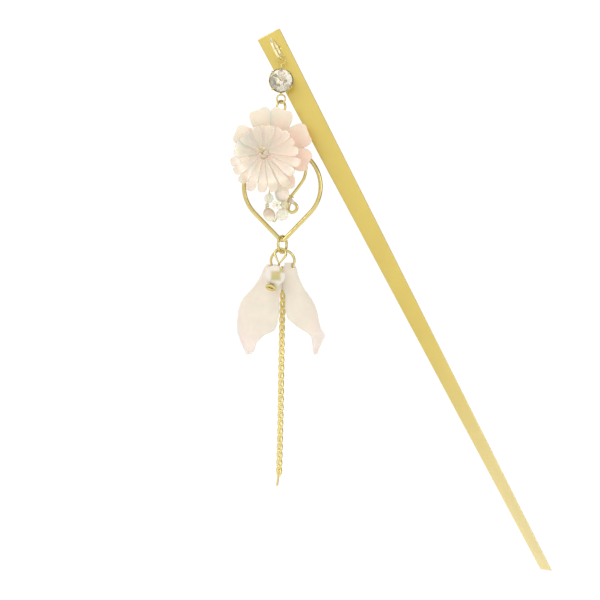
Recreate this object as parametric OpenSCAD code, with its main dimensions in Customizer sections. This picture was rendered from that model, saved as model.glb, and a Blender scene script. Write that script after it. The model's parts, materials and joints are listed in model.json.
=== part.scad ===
// Hair stick with a hanging flower drop.
// +Z is up, +X is to the right and +Y points away from the viewer, so a smaller y is nearer the front.
// The origin is on the stick's middle line, where the hair grips it.
// Places on the drop are measured from the point where it hangs on the stick's loop.

/* [Stick] */
// Length of the stick along its middle line
stick_length = 175; // [150:1:220]
// Width of the stick at its wide end
stick_top_width = 7.2; // [5:0.1:10]
// Width of the stick at its tip
stick_tip_width = 2.75; // [1.5:0.05:4]
// Thickness of the flat bar
stick_thickness = 1.2; // [0.8:0.1:1.6]
// Extra length of the tip's right corner
tip_slant = 2; // [0:0.1:4]
// Distance from the wide end to the place that the hair grips
grip_from_top = 100; // [80:1:120]
// Lean of the stick from upright, in degrees
stick_lean = 27.4; // [20:0.1:35]

/* [Loop] */
// Outer diameter of the upright loop
loop_od = 7.15; // [5:0.05:8]
// Wire of the loop
loop_wire = 0.9; // [0.7:0.05:1]
// Distance from the stick's wide end to the loop's middle
loop_from_top = 4.9; // [4.8:0.1:8]
// Lean of the loop to the left, in degrees
loop_lean = 10; // [0:1:20]

/* [Stone setting] */
// Diameter of the clear stone
stone_d = 6.5; // [5.8:0.1:6.7]
// Outer diameter of the cup that holds it
cup_od = 7.3; // [7.1:0.1:7.5]
// Outer diameter of the eyes above and below the cup
eye_od = 2.9; // [2.8:0.1:3.2]
// Wire of the two eyes
eye_wire = 0.45; // [0.4:0.05:0.5]
// Distance from the upper eye's middle to the stone's middle
upper_reach = 6; // [5.7:0.05:6.2]
// Distance from the stone's middle to the lower eye's middle
lower_reach = 5.3; // [5.2:0.05:5.6]
// Clearance between rings that hang in one another
link_gap = 0.12; // [0.08:0.01:0.15]

/* [Rings] */
// Outer diameter of the ring above the frame
top_ring_od = 4; // [3.8:0.1:4.4]
// Wire of the ring above the frame
top_ring_wire = 0.6; // [0.5:0.05:0.65]
// Outer diameter of the ring at the frame's foot
foot_ring_od = 5.6; // [5.4:0.1:6]
// Wire of the ring at the frame's foot
foot_ring_wire = 0.7; // [0.6:0.05:0.75]
// Outer diameter of the ring that carries the petals
petal_ring_od = 7.5; // [7.2:0.1:7.8]
// Wire of the ring that carries the petals
petal_ring_wire = 0.65; // [0.5:0.05:0.65]
// Tilt of the ring that carries the petals, in degrees
petal_ring_tilt = 20; // [18:1:22]

/* [Frame] */
// Radius of the frame's round part, to the middle of its wire
frame_r = 11.1; // [10.8:0.1:11.4]
// Distance from the round part's middle to the pointed foot
frame_foot = 16; // [15.8:0.1:16.4]
// Radius of the bend in the foot
foot_bend = 1; // [0.8:0.1:1.2]
// Wire of the frame
frame_wire = 1.25; // [1.1:0.05:1.3]
// Wire of the inner scroll
scroll_wire = 0.9; // [0.8:0.05:1]
// Distance from the frame's eye to the round part's middle
frame_hang = 20.75; // [20.5:0.05:21]

/* [Flowers] */
// Diameter of the pink flower over its petals
pink_d = 23.8; // [22:0.1:24]
// Number of petals on the pink flower
pink_petals = 8; // [7:1:9]
// Diameter of the clear flower over its petals
clear_d = 20; // [18:0.1:20.4]
// Number of petals on the clear flower
clear_petals = 20; // [16:1:20]
// Diameter of a knob at the flower's middle
knob_d = 0.9; // [0.7:0.05:1]

/* [Beads] */
// Diameter of the pale upper bead
bead_top_d = 2.9; // [2.6:0.1:2.9]
// Width of the mauve oval bead
bead_mauve_d = 3.3; // [3:0.1:3.3]
// Length of the mauve oval bead along its hole
bead_mauve_length = 4.2; // [3.8:0.1:4.2]
// Diameter of the little bead between those two
bead_left_d = 1.3; // [1.1:0.1:1.3]
// Diameter of the pale lower bead
bead_pale_d = 3.9; // [3.4:0.1:3.9]
// Outer diameter of the seed bead
bead_seed_d = 2.4; // [2:0.1:2.4]
// Diameter of the bead right of the seed bead
bead_right_d = 2.2; // [1.8:0.1:2.2]
// Diameter of the small bead by the curl
bead_small_d = 1.5; // [1.2:0.1:1.5]

/* [Pearl and petals] */
// Diameter of the pearl
pearl_d = 6; // [5.6:0.1:6]
// Wire of the pearl's pin
pin_wire = 0.6; // [0.4:0.05:0.6]
// Thickness of the two big petals
petal_thickness = 0.9; // [0.7:0.05:1]
// Diameter of the hole that a ring passes through in each big petal
petal_hole = 1.5; // [1.4:0.1:1.6]

/* [Chain] */
// Width of the curb chain
chain_width = 1.8; // [1.5:0.1:1.8]

/* [Hidden] */

round_fn = 64;
wire_fn = 24;
tube_sides = 8;
oval_steps = 16;
thin_sides = 6;
solder = 0.325;

gold = [0.86, 0.75, 0.40];
acrylic_pink = [0.96, 0.82, 0.78];
acrylic_clear = [0.93, 0.93, 0.90];
petal_ivory = [0.96, 0.90, 0.86];

// Mean radius of a ring from its outer diameter and its wire.
function ring_r(od, wire) = (od - wire) / 2;
function unit(v) = v / norm(v);

// Height of a ring that hangs on a wire at height z: its own wire rests a small gap above that one.
function hung(z, wire_above, wire_own) = z + (wire_above + wire_own) / 2 + link_gap;

// The loop's middle and the lowest point of its wire, which the drop hangs from.
loop_r = ring_r(loop_od, loop_wire);
loop_standoff = stick_thickness / 2 + loop_r * cos(loop_lean) + loop_wire / 2 - solder;
loop_along = grip_from_top - loop_from_top;
loop_centre = [-loop_along * sin(stick_lean), -loop_standoff, loop_along * cos(stick_lean)];
loop_axis = [cos(loop_lean) * cos(stick_lean), -sin(loop_lean), cos(loop_lean) * sin(stick_lean)];
loop_down = unit([0, 0, -1] + loop_axis.z * loop_axis);
hang = loop_centre + loop_r * loop_down;

// Heights down the drop.
eye_r = ring_r(eye_od, eye_wire);
top_ring_r = ring_r(top_ring_od, top_ring_wire);
foot_ring_r = ring_r(foot_ring_od, foot_ring_wire);
petal_ring_r = ring_r(petal_ring_od, petal_ring_wire);
frame_eye_wire = 0.7;
frame_eye_r = 1.35;
frame_stem_d = 1;
foot_ring_lift = 0.1;
petal_ring_lift = 0.06;
upper_eye_z = hung(0, loop_wire, eye_wire) - eye_r;
stone_z = upper_eye_z - upper_reach;
lower_eye_z = stone_z - lower_reach;
top_ring_z = hung(lower_eye_z - eye_r, eye_wire, top_ring_wire) - top_ring_r;
frame_eye_z = hung(top_ring_z - top_ring_r, top_ring_wire, frame_eye_wire) - frame_eye_r;
frame_z = frame_eye_z - frame_hang;
foot_half_angle = asin(frame_r / frame_foot);
foot_z = frame_z - frame_foot + foot_bend * (1 / sin(foot_half_angle) - 1);
foot_ring_z = hung(foot_z, frame_wire, foot_ring_wire) + foot_ring_lift - foot_ring_r;
foot_ring_low_z = foot_ring_z - foot_ring_r;
petal_ring_high_z = hung(foot_ring_low_z, foot_ring_wire, petal_ring_wire) + petal_ring_lift;
petal_ring_top = [0.45, -0.35, petal_ring_high_z];
petal_ring_centre = petal_ring_top + petal_ring_r * [0, sin(petal_ring_tilt), -cos(petal_ring_tilt)];

frame_x = 0.35;
foot_ring_x = 0.35;
top_ring_turn = 45;
foot_ring_turn = 60;

// Stone, cup and claws, measured along the stone's axis from the plane of the eyes.
cup_back = -1.6;
cup_rim = 1.15;
girdle_low = 1.1;
girdle_high = 1.3;
table_height = 2.2;
culet_height = -1;
stone_gap = 0.12;
claw_r = 0.33;
claw_knob_r = 0.42;
claw_low = 0.2;
claw_top = 2;
claw_reach = 0.15;
eye_stem_d = 0.6;
eye_stem_sunk = 0.7;

// Pearl pin: the top of its eye, and the directions of the eye and of the pin below it.
pin_eye_top = [0.05, -0.95, foot_ring_low_z + 1.2];
pin_eye_r = 1.6;
pin_eye_length = 4.75;
pin_eye_dir = unit([-0.14, -0.42, -1]);
pin_dir = unit([-0.35, -0.42, -1]);
pin_neck = pin_eye_top + pin_eye_length * pin_eye_dir;
pearl_from_neck = 3.95;
pearl_centre = pin_neck + pearl_from_neck * pin_dir;
pearl_clearance = 0.35;
cap_r = 1.2;
cap_rim = 0.85;
cap_plate = 0.6;
cap_rim_height = 0.75;
neck_d = 0.75;

// Inner scroll, from the frame's wire down to the curl: [x, z].
scroll_route = [
    [5.9, -27.5], [7.2, -30.5], [6.7, -34.5], [4.8, -37.5], [2.7, -40.2], [1.7, -42.3],
    [2.1, -44], [3.3, -44.6], [4.4, -43.9], [4.5, -42.6], [3.4, -41.6]
];

// Binding wire below its wraps on the frame, down through the beads and on to the scroll: [x, y, z].
binding_route = [
    [-1.6, -1.3, -28.5], [-2, -1.4, -32], [-2.4, -2.2, -35.5], [-2.8, -3.7, -37.3],
    [-3.3, -3.85, -38.4], [-3.5, -3.4, -40.5], [-3.85, -3.1, -41.8], [-4, -3, -42.55],
    [-4.35, -3, -43.3], [-3.4, -3, -45.25], [-2.45, -3, -46.9], [-1.95, -3, -47.3],
    [-1.5, -3, -46.85], [-1.15, -3, -46.15], [0.4, -3, -45.2], [2.05, -3, -44.2],
    [2.35, -2.4, -43.4], [2.6, -1.6, -42.4], [3, -1.3, -41.4], [3, -1.1, -40.6],
    [2.95, -0.75, -39.95], [3.45, -0.35, -40.25], [3.45, 0.4, -40.25], [2.9, 0.75, -39.9],
    [2.4, 0.4, -39.6]
];
// Its branch through the bud and the bead on the right, which ends in the seed bead: [x, y, z].
branch_route = [
    [-2, -1.45, -32.05], [-1.5, -1.9, -34], [-0.3, -2.7, -36], [0.3, -3, -37.2], [0.3, -3, -39.4],
    [0.3, -3, -41.9], [0.9, -2.9, -42.6], [1.8, -2.9, -42.7], [2.35, -3.6, -42.6],
    [2.1, -4.45, -42.5], [0.95, -4.6, -42.45], [-0.15, -4.6, -42.45], [-0.8, -4.35, -42.45],
    [-1.25, -4.35, -42.5], [-1.4, -4.8, -42.5], [-1.4, -5.6, -42.5]
];
binding_d = 0.4;
wrap_turns = 3.25;
wrap_start = 98;
wrap_end = 104;
wrap_clearance = 0.06;

// Middles of the beads, and the direction of the hole in each.
bead_hole = 0.9;
bead_top_at = [-3.5, -3.4, -40.5];
bead_top_dir = [-0.18, 0.18, -1];
bead_left_at = [-4, -3, -42.55];
bead_left_dir = [-0.4, 0.05, -1];
bead_mauve_at = [-3.4, -3, -45.25];
bead_mauve_dir = [0.5, 0, -0.87];
bead_pale_at = [0.4, -3, -45.2];
bead_pale_dir = [0.85, 0, 0.53];
bead_right_at = [0.95, -4.6, -42.45];
bead_right_dir = [1, 0.07, 0];
bead_seed_at = [-1.4, -5.4, -42.5];
bead_seed_wall = 0.84;
bead_small_at = [3, -1.3, -41.4];
bead_small_dir = [0.2, 0.25, 1];
small_hole = 0.7;

// Bud between the beads: its middle, and its outline as [radius, height] from its foot up.
bud_at = [0.3, -3, -39.35];
bud_outline = [
    [0.45, -2.3], [0.9, -2.2], [1.7, -1.5], [2.15, -0.3], [2.2, 0.8], [1.8, 1.7], [1, 2.25], [0.45, 2.35]
];

// Chain from the petals' ring to its free end: [x, y, z].
chain_route = [
    [0.4, 1.95, -63.2], [0.5, 1.95, -67.3], [0.25, 1.95, -78.6],
    [0, 1.95, -93.1], [-0.25, 1.95, -107.6], [-0.7, 1.95, -123.8]
];

// Big petals, one row for each level: [z, x of the outer edge, x of the inner edge].
left_petal_rows = [
    [-59.7, -3.8, -1.4], [-61, -4.7, -0.1], [-63.5, -5.8, 0.15], [-66.3, -7.6, 0.15],
    [-68.4, -9.5, -0.4], [-70.3, -11.1, -0.45], [-73.5, -12.1, -0.5], [-77.4, -12.4, -1.2],
    [-79, -12.4, -2.3], [-80.2, -12, -4.9], [-82.5, -11.1, -7.1], [-84.4, -10.2, -7.6],
    [-85.6, -9.3, -8.7]
];
right_petal_rows = [
    [-59.2, 2.9, 1], [-60.8, 4.1, 0.6], [-63.5, 4.8, 0.45], [-66.3, 6.1, 0.5], [-68.4, 7.5, 1.1],
    [-70.3, 8.8, 1.15], [-73.1, 10, 1.2], [-75.5, 10.5, 2.1], [-78.4, 11.2, 5.7],
    [-80, 12.3, 8.3], [-81.6, 11.7, 8.9], [-84.6, 10.3, 9.2], [-85.7, 10.1, 9.7]
];
petal_columns = 9;
petal_back = 2;
petal_front_top = 1.7;
petal_front_depth = 4.3;
left_hole_angle = 210;
right_hole_angle = -32;

// Flowers: where the petals meet, how far the middle of the outline is from there to the right and
// upwards, and how far the petals cup towards the front.
pink_centre = [-2.65, -2.1, -25.5];
pink_offset = [0.3, -0.2];
pink_cup = 2.2;
pink_turn = 24;
pink_turned = pink_turn - 180 / pink_petals;
clear_centre = [-4.95, -4.9, -27.45];
clear_offset = [0.9, -2.2];
clear_cup = 2.4;
clear_tilt = 14;
clear_tilt_way = 142;

// Stamens: a stem from the petals' middle, a plate on it and the knobs round the plate.
stamen_foot = 0.6;
stamen_plate_height = 3.3;
stamen_plate = 0.35;
stamen_ring_r = 0.95;
stamen_count = 5;
stamen_turn = 40;

// One point on the smooth curve through four points, t from 0 to 1 between the middle two.
function spline_point(a, b, c, d, t) =
    b + 0.5 * t * ((c - a) + t * ((2 * a - 5 * b + 4 * c - d) + t * (3 * (b - c) + d - a)));

// A smooth curve through a list of points, with a number of steps for each stretch.
function smooth(points, steps) = let (last = len(points) - 1) [
    for (i = [0 : last - 1])
        for (s = [0 : steps - 1])
            spline_point(
                points[max(i - 1, 0)], points[i], points[i + 1], points[min(i + 2, last)], s / steps
            ),
    points[last]
];

// Direction of a path at its point i. A closed path joins its last point to its first.
function tangent(path, i, closed) = let (n = len(path))
    closed ? unit(path[(i + 1) % n] - path[(i + n - 1) % n])
           : unit(path[min(i + 1, n - 1)] - path[max(i - 1, 0)]);

function square_to(v, t) = unit(v - (v * t) * t);

// Side directions carried along a path without twist.
function sides_along(path, first, closed) = [
    for (
        i = 0, v = square_to(first, tangent(path, 0, closed));
        i < len(path);
        i = i + 1, v = square_to(v, tangent(path, min(i, len(path) - 1), closed))
    ) v
];

// Faces that join rings of points, each ring with n points, as pairs of triangles.
function ring_faces(rings, n, closed) = [
    for (i = [0 : closed ? rings - 1 : rings - 2])
        for (j = [0 : n - 1])
            let (
                a = i * n + j,
                b = i * n + (j + 1) % n,
                c = ((i + 1) % rings) * n + (j + 1) % n,
                d = ((i + 1) % rings) * n + j
            )
            each [[a, c, b], [a, d, c]]
];

// A round wire of diameter d along a path. first is a direction across the path's start.
module wire(path, d, first = [0, 1, 0], closed = false, sides = tube_sides) {
    n = sides;
    side = sides_along(path, first, closed);
    points = [
        for (i = [0 : len(path) - 1])
            let (t = tangent(path, i, closed), u = side[i], w = cross(t, u))
            for (j = [0 : n - 1])
                path[i] + d / 2 * (cos(360 * j / n) * u + sin(360 * j / n) * w)
    ];
    start = [for (j = [0 : n - 1]) j];
    end = [for (j = [0 : n - 1]) len(path) * n - 1 - j];
    caps = closed ? [] : [start, end];
    polyhedron(points, concat(ring_faces(len(path), n, closed), caps));
}

// Square direction of a surface at row i, column j of its grid of points.
function surface_normal(grid, i, j, closed) =
    let (
        m = len(grid[0]),
        rows = grid[min(i + 1, len(grid) - 1)][j] - grid[max(i - 1, 0)][j],
        before = closed ? (j + m - 1) % m : max(j - 1, 0),
        after = closed ? (j + 1) % m : min(j + 1, m - 1)
    )
    unit(cross(rows, grid[i][after] - grid[i][before]));

// A sheet of even thickness on a grid of points. Each row of a closed sheet joins up with itself.
module sheet(grid, thickness, closed = false) {
    n = len(grid);
    m = len(grid[0]);
    spans = closed ? m : m - 1;
    faces_across = function (i, j, offset) [
        offset + i * m + j, offset + i * m + (j + 1) % m,
        offset + (i + 1) * m + (j + 1) % m, offset + (i + 1) * m + j
    ];
    points = [
        for (side = [0.5, -0.5])
            for (i = [0 : n - 1])
                for (j = [0 : m - 1])
                    grid[i][j] + side * thickness * surface_normal(grid, i, j, closed)
    ];
    upper = [
        for (i = [0 : n - 2])
            for (j = [0 : spans - 1])
                let (q = faces_across(i, j, 0))
                each [[q[0], q[1], q[2]], [q[0], q[2], q[3]]]
    ];
    lower = [
        for (i = [0 : n - 2])
            for (j = [0 : spans - 1])
                let (q = faces_across(i, j, n * m))
                each [[q[2], q[1], q[0]], [q[3], q[2], q[0]]]
    ];
    row_rims = [
        for (i = [0, n - 1])
            for (j = [0 : spans - 1])
                let (
                    a = i * m + j,
                    b = i * m + (j + 1) % m,
                    quad = [a, a + n * m, b + n * m, b],
                    q = i == 0 ? quad : [quad[3], quad[2], quad[1], quad[0]]
                )
                each [[q[0], q[1], q[2]], [q[0], q[2], q[3]]]
    ];
    column_rims = closed ? [] : [
        for (j = [0, m - 1])
            for (i = [0 : n - 2])
                let (
                    a = i * m + j,
                    b = (i + 1) * m + j,
                    quad = [a, b, b + n * m, a + n * m],
                    q = j == 0 ? quad : [quad[3], quad[2], quad[1], quad[0]]
                )
                each [[q[0], q[1], q[2]], [q[0], q[2], q[3]]]
    ];
    polyhedron(points, concat(upper, lower, row_rims, column_rims));
}

// Turns local z towards the viewer, local x staying to the right.
module facing_viewer() rotate([90, 0, 0]) children();

// Turns local z along a direction.
module along(v) rotate([0, acos(unit(v).z), atan2(v.y, v.x)]) children();

// A ring about the local z axis.
module ring(r, wire) rotate_extrude($fn = round_fn) translate([r, 0]) circle(d = wire, $fn = wire_fn);

// A ring in an upright plane, turned about the vertical. A turn of 0 faces the viewer.
module upright_ring(r, wire, turn = 0) rotate([0, 0, turn]) facing_viewer() ring(r, wire);

module at_hang() translate(hang) children();

// The stick

module stick() color(gold) {
    low = grip_from_top - stick_length;
    rotate([0, -stick_lean, 0]) {
        facing_viewer() translate([0, 0, -stick_thickness / 2]) linear_extrude(stick_thickness) polygon([
            [-stick_top_width / 2, grip_from_top], [-stick_tip_width / 2, low + tip_slant / 2],
            [stick_tip_width / 2, low - tip_slant / 2], [stick_top_width / 2, grip_from_top]
        ]);
        translate([0, -loop_standoff, loop_along])
            rotate([0, 0, -loop_lean]) rotate([0, 90, 0]) ring(loop_r, loop_wire);
    }
}

// The stone and its setting

module claw(angle) rotate([0, 0, angle]) {
    translate([cup_od / 2 + claw_r - solder, 0, claw_low])
        cylinder(r = claw_r, h = claw_top - claw_low, $fn = wire_fn);
    translate([stone_d / 2 + claw_reach, 0, claw_top]) sphere(claw_knob_r, $fn = wire_fn);
}

module setting_eye(z) {
    way = sign(stone_z - z);
    translate([0, 0, z]) upright_ring(eye_r, eye_wire);
    translate([0, 0, z + way * eye_r]) rotate([way < 0 ? 180 : 0, 0, 0])
        cylinder(d = eye_stem_d, h = abs(stone_z - z) - eye_r - cup_od / 2 + eye_stem_sunk, $fn = wire_fn);
}

module stone_setting() color(gold) at_hang() {
    translate([0, 0, stone_z]) facing_viewer() {
        rotate_extrude($fn = round_fn) polygon([
            [0, cup_back], [cup_od / 2 - 1.3, cup_back], [cup_od / 2, cup_rim - 0.5], [cup_od / 2, cup_rim],
            [stone_d / 2 + stone_gap, cup_rim], [0.4, culet_height - 0.2], [0, culet_height - 0.2]
        ]);
        for (angle = [45 : 90 : 315]) claw(angle);
    }
    setting_eye(upper_eye_z);
    setting_eye(lower_eye_z);
}

module rhinestone() color([0.9, 0.92, 0.94]) at_hang()
    translate([0, 0, stone_z]) facing_viewer() rotate_extrude($fn = round_fn) polygon([
        [0, culet_height], [0.2, culet_height], [stone_d / 2, girdle_low], [stone_d / 2, girdle_high],
        [stone_d * 0.3, table_height], [0, table_height]
    ]);

module jump_ring_top() color(gold) at_hang()
    translate([0, 0, top_ring_z]) upright_ring(top_ring_r, top_ring_wire, top_ring_turn);

// The frame

// A round outline that narrows to a corner at a distance below its middle, as [x, z] points.
function drop_outline(r, corner, bend, steps) =
    let (
        half = asin(r / corner),
        bend_z = -corner + bend / sin(half)
    )
    concat(
        [for (i = [0 : steps]) let (a = -half + (180 + 2 * half) * i / steps) [r * cos(a), r * sin(a)]],
        bend == 0 ? [[0, -corner]] : [
            for (i = [0 : 8]) let (a = 180 + half + (180 - 2 * half) * i / 8)
                [bend * cos(a), bend_z + bend * sin(a)]
        ]
    );

module scroll_frame() color(gold) at_hang() {
    outline = drop_outline(frame_r, frame_foot, foot_bend, 48);
    translate([frame_x, 0, frame_z]) wire([for (p = outline) [p.x, 0, p.y]], frame_wire, closed = true);
    wire([for (p = smooth(scroll_route, 4)) [p.x, 0, p.y]], scroll_wire);
    translate([frame_x, 0, frame_z + frame_r])
        cylinder(d = frame_stem_d, h = frame_hang - frame_r - frame_eye_r, $fn = wire_fn);
    translate([frame_x, 0, frame_eye_z]) upright_ring(frame_eye_r, frame_eye_wire, top_ring_turn - 90);
}

// The flowers

// Radius of a flower's edge at an angle: full at each petal's tip, smaller between two petals.
function petal_edge(angle, petals, tip_r, notch_r) =
    notch_r + (tip_r - notch_r) * pow(abs(sin(petals * angle / 2)), 0.55);

// How far a round outline is at an angle, from a point that its middle is offset from.
function to_outline(angle, r, offset) = let (across = offset * [cos(angle), sin(angle)])
    across + sqrt(across * across - offset * offset + r * r);

// A flower cut from one cupped disc that opens towards local z.
module flower(petals, d, offset, notch, cup, arch, thickness, rows, steps) {
    grid = [
        for (i = [0 : rows])
            let (f = 0.08 + 0.92 * i / rows)
            [
                for (k = [0 : petals * steps - 1])
                    let (
                        a = 360 * k / (petals * steps),
                        share = f * petal_edge(a, petals, 1, notch),
                        r = share * to_outline(a, d / 2, offset),
                        ridge = arch * f * abs(sin(petals * a / 2))
                    )
                    [r * cos(a), r * sin(a), cup * share * share + ridge]
            ]
    ];
    sheet(grid, thickness, closed = true);
}

// A flat offset as seen after a turn, in degrees.
function turned_back(v, angle) = [v.x * cos(angle) + v.y * sin(angle), v.y * cos(angle) - v.x * sin(angle)];

module pink_flower() color(acrylic_pink) at_hang() translate(pink_centre)
    facing_viewer() rotate([0, 0, pink_turned])
        flower(pink_petals, pink_d, turned_back(pink_offset, pink_turned), 0.72, pink_cup, 0.4, 1, 5, 10);

// Turns a thing that faces the viewer towards the upper left, as the clear flower looks.
module clear_facing() at_hang() translate(clear_centre) facing_viewer()
    rotate([0, 0, clear_tilt_way]) rotate([0, clear_tilt, 0]) rotate([0, 0, -clear_tilt_way]) children();

module clear_flower() color(acrylic_clear) clear_facing()
    flower(clear_petals, clear_d, clear_offset, 0.78, clear_cup, 0.2, 0.8, 4, 4);

module stamens() color(petal_ivory) clear_facing() translate([0, 0, stamen_foot]) {
    cylinder(r1 = 1, r2 = 0.5, h = stamen_plate_height + stamen_plate, $fn = wire_fn);
    translate([0, 0, stamen_plate_height]) {
        cylinder(r = stamen_ring_r, h = stamen_plate, $fn = wire_fn);
        for (i = [0 : stamen_count - 1])
            rotate([0, 0, 360 * i / stamen_count + stamen_turn]) translate([stamen_ring_r, 0, 0])
                sphere(d = knob_d, $fn = wire_fn);
    }
}

// The binding wire and the beads

// Wraps round the frame's wire between two angles of its round part.
function wraps() = let (steps = 12 * wrap_turns, offset = (frame_wire + binding_d) / 2 + wrap_clearance) [
    for (i = [0 : steps])
        let (
            a = wrap_start + (wrap_end - wrap_start) * i / steps,
            turn = 360 * wrap_turns * i / steps,
            r = frame_r + offset * cos(turn)
        )
        [frame_x + r * cos(a), -offset * sin(turn), frame_z + r * sin(a)]
];

module binding_wire() color(gold) at_hang() {
    wire(concat(wraps(), smooth(binding_route, 3)), binding_d, [1, 0, 0], sides = thin_sides);
    wire(smooth(branch_route, 3), binding_d, [1, 0, 0], sides = thin_sides);
}

// A round bead at a place, with its hole along a direction.
module bead(place, d, hole_d, hole_dir) at_hang() translate(place) along(hole_dir) difference() {
    sphere(d = d, $fn = round_fn);
    cylinder(d = hole_d, h = 2 * d, center = true, $fn = round_fn);
}

// An oval bead at a place, longer along its hole.
module oval_bead(place, d, length, hole_d, hole_dir) {
    start = asin(hole_d / d);
    at_hang() translate(place) along(hole_dir) rotate_extrude($fn = round_fn) polygon([
        for (i = [0 : oval_steps]) let (a = start + (180 - 2 * start) * i / oval_steps)
            [d / 2 * sin(a), length / 2 * cos(a)]
    ]);
}

module bead_top() color([0.88, 0.89, 0.86]) bead(bead_top_at, bead_top_d, bead_hole, bead_top_dir);
module bead_left() color([0.92, 0.90, 0.76])
    bead(bead_left_at, bead_left_d, small_hole, bead_left_dir);
module bead_mauve() color([0.86, 0.79, 0.76])
    oval_bead(bead_mauve_at, bead_mauve_d, bead_mauve_length, bead_hole, bead_mauve_dir);
module bead_pale() color([0.90, 0.91, 0.82]) bead(bead_pale_at, bead_pale_d, bead_hole, bead_pale_dir);
module bead_right() color([0.88, 0.86, 0.74])
    bead(bead_right_at, bead_right_d, bead_hole, bead_right_dir);
module bead_seed() color([0.90, 0.91, 0.86]) at_hang()
    translate(bead_seed_at) upright_ring(ring_r(bead_seed_d, bead_seed_wall), bead_seed_wall);
module bead_small() color([0.88, 0.84, 0.84])
    bead(bead_small_at, bead_small_d, small_hole, bead_small_dir);
module pink_bud() color(acrylic_pink) at_hang()
    translate(bud_at) rotate_extrude($fn = round_fn) polygon(bud_outline);

// The rings below the frame

module jump_ring_lower() color(gold) at_hang()
    translate([foot_ring_x, 0, foot_ring_z]) upright_ring(foot_ring_r, foot_ring_wire, foot_ring_turn);

module jump_ring_petals() color(gold) at_hang()
    translate(petal_ring_centre) rotate([petal_ring_tilt, 0, 0])
        upright_ring(petal_ring_r, petal_ring_wire);

// The big petals

// The petals' front edge at a level: near the ring at the top, and forward lower down.
function petal_front(z, top_z, low_z) = let (t = (top_z - z) / (top_z - low_z))
    petal_front_top - petal_front_depth * (1 - pow(1 - t, 4));

// A cupped petal from its rows of edges, with a hole where the ring passes at an angle of its circle.
module petal_drop(rows, hole_angle) {
    levels = smooth(rows, 2);
    grid = [
        for (level = levels)
            let (front = petal_front(level[0], rows[0][0], rows[len(rows) - 1][0]))
            [
                for (j = [0 : petal_columns])
                    let (a = 90 * j / petal_columns)
                    [
                        level[2] + (level[1] - level[2]) * cos(a),
                        petal_back + (front - petal_back) * sin(a),
                        level[0]
                    ]
            ]
    ];
    hole = [cos(hole_angle), -sin(hole_angle) * sin(petal_ring_tilt), sin(hole_angle) * cos(petal_ring_tilt)];
    way = [-sin(hole_angle), -cos(hole_angle) * sin(petal_ring_tilt), cos(hole_angle) * cos(petal_ring_tilt)];
    difference() {
        sheet(grid, petal_thickness);
        translate(petal_ring_centre + petal_ring_r * hole) along(way)
            cylinder(d = petal_hole, h = 5, center = true, $fn = wire_fn);
    }
}

module petal_drop_left() color(petal_ivory) at_hang() petal_drop(left_petal_rows, left_hole_angle);
module petal_drop_right() color(petal_ivory) at_hang() petal_drop(right_petal_rows, right_hole_angle);

// The pearl and its pin

module pearl() color([0.95, 0.93, 0.90]) bead(pearl_centre, pearl_d, pin_wire + 0.4, pin_dir);

module pearl_pin() color(gold) at_hang() {
    across = square_to([1, 0, 0], pin_eye_dir);
    outline = drop_outline(pin_eye_r, pin_eye_length - pin_eye_r, 0, 20);
    middle = pin_eye_top + pin_eye_r * pin_eye_dir;
    cap_from_neck = pearl_from_neck + pearl_d / 2 + pearl_clearance;
    wire([for (p = outline) middle + p.x * across - p.y * pin_eye_dir], pin_wire,
        first = cross(across, pin_eye_dir), closed = true);
    translate(pin_neck) along(pin_dir) {
        sphere(d = neck_d, $fn = wire_fn);
        cylinder(d = pin_wire, h = cap_from_neck + cap_plate, $fn = wire_fn);
        translate([0, 0, cap_from_neck]) cylinder(r = cap_r, h = cap_plate, $fn = wire_fn);
        translate([0, 0, cap_from_neck + cap_rim_height]) ring(cap_r, cap_rim);
    }
}

// The chain, as one tube of its outer size

module chain() color(gold) at_hang() wire(smooth(chain_route, 3), chain_width);

stick();
stone_setting();
rhinestone();
jump_ring_top();
scroll_frame();
pink_flower();
clear_flower();
stamens();
binding_wire();
bead_top();
bead_left();
bead_mauve();
bead_pale();
bead_right();
bead_seed();
bead_small();
pink_bud();
jump_ring_lower();
jump_ring_petals();
petal_drop_left();
petal_drop_right();
pearl();
pearl_pin();
chain();
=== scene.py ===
"""A gold hair stick with a hanging flower drop: a stone, a wire frame with two flowers and beads,
two frosted petals, a pearl and a fine chain. Lengths are in metres where nothing else is said."""

import json
import math

import bpy
from bpy.props import FloatProperty, FloatVectorProperty, IntProperty, PointerProperty
from mathutils import Matrix, Vector


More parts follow.
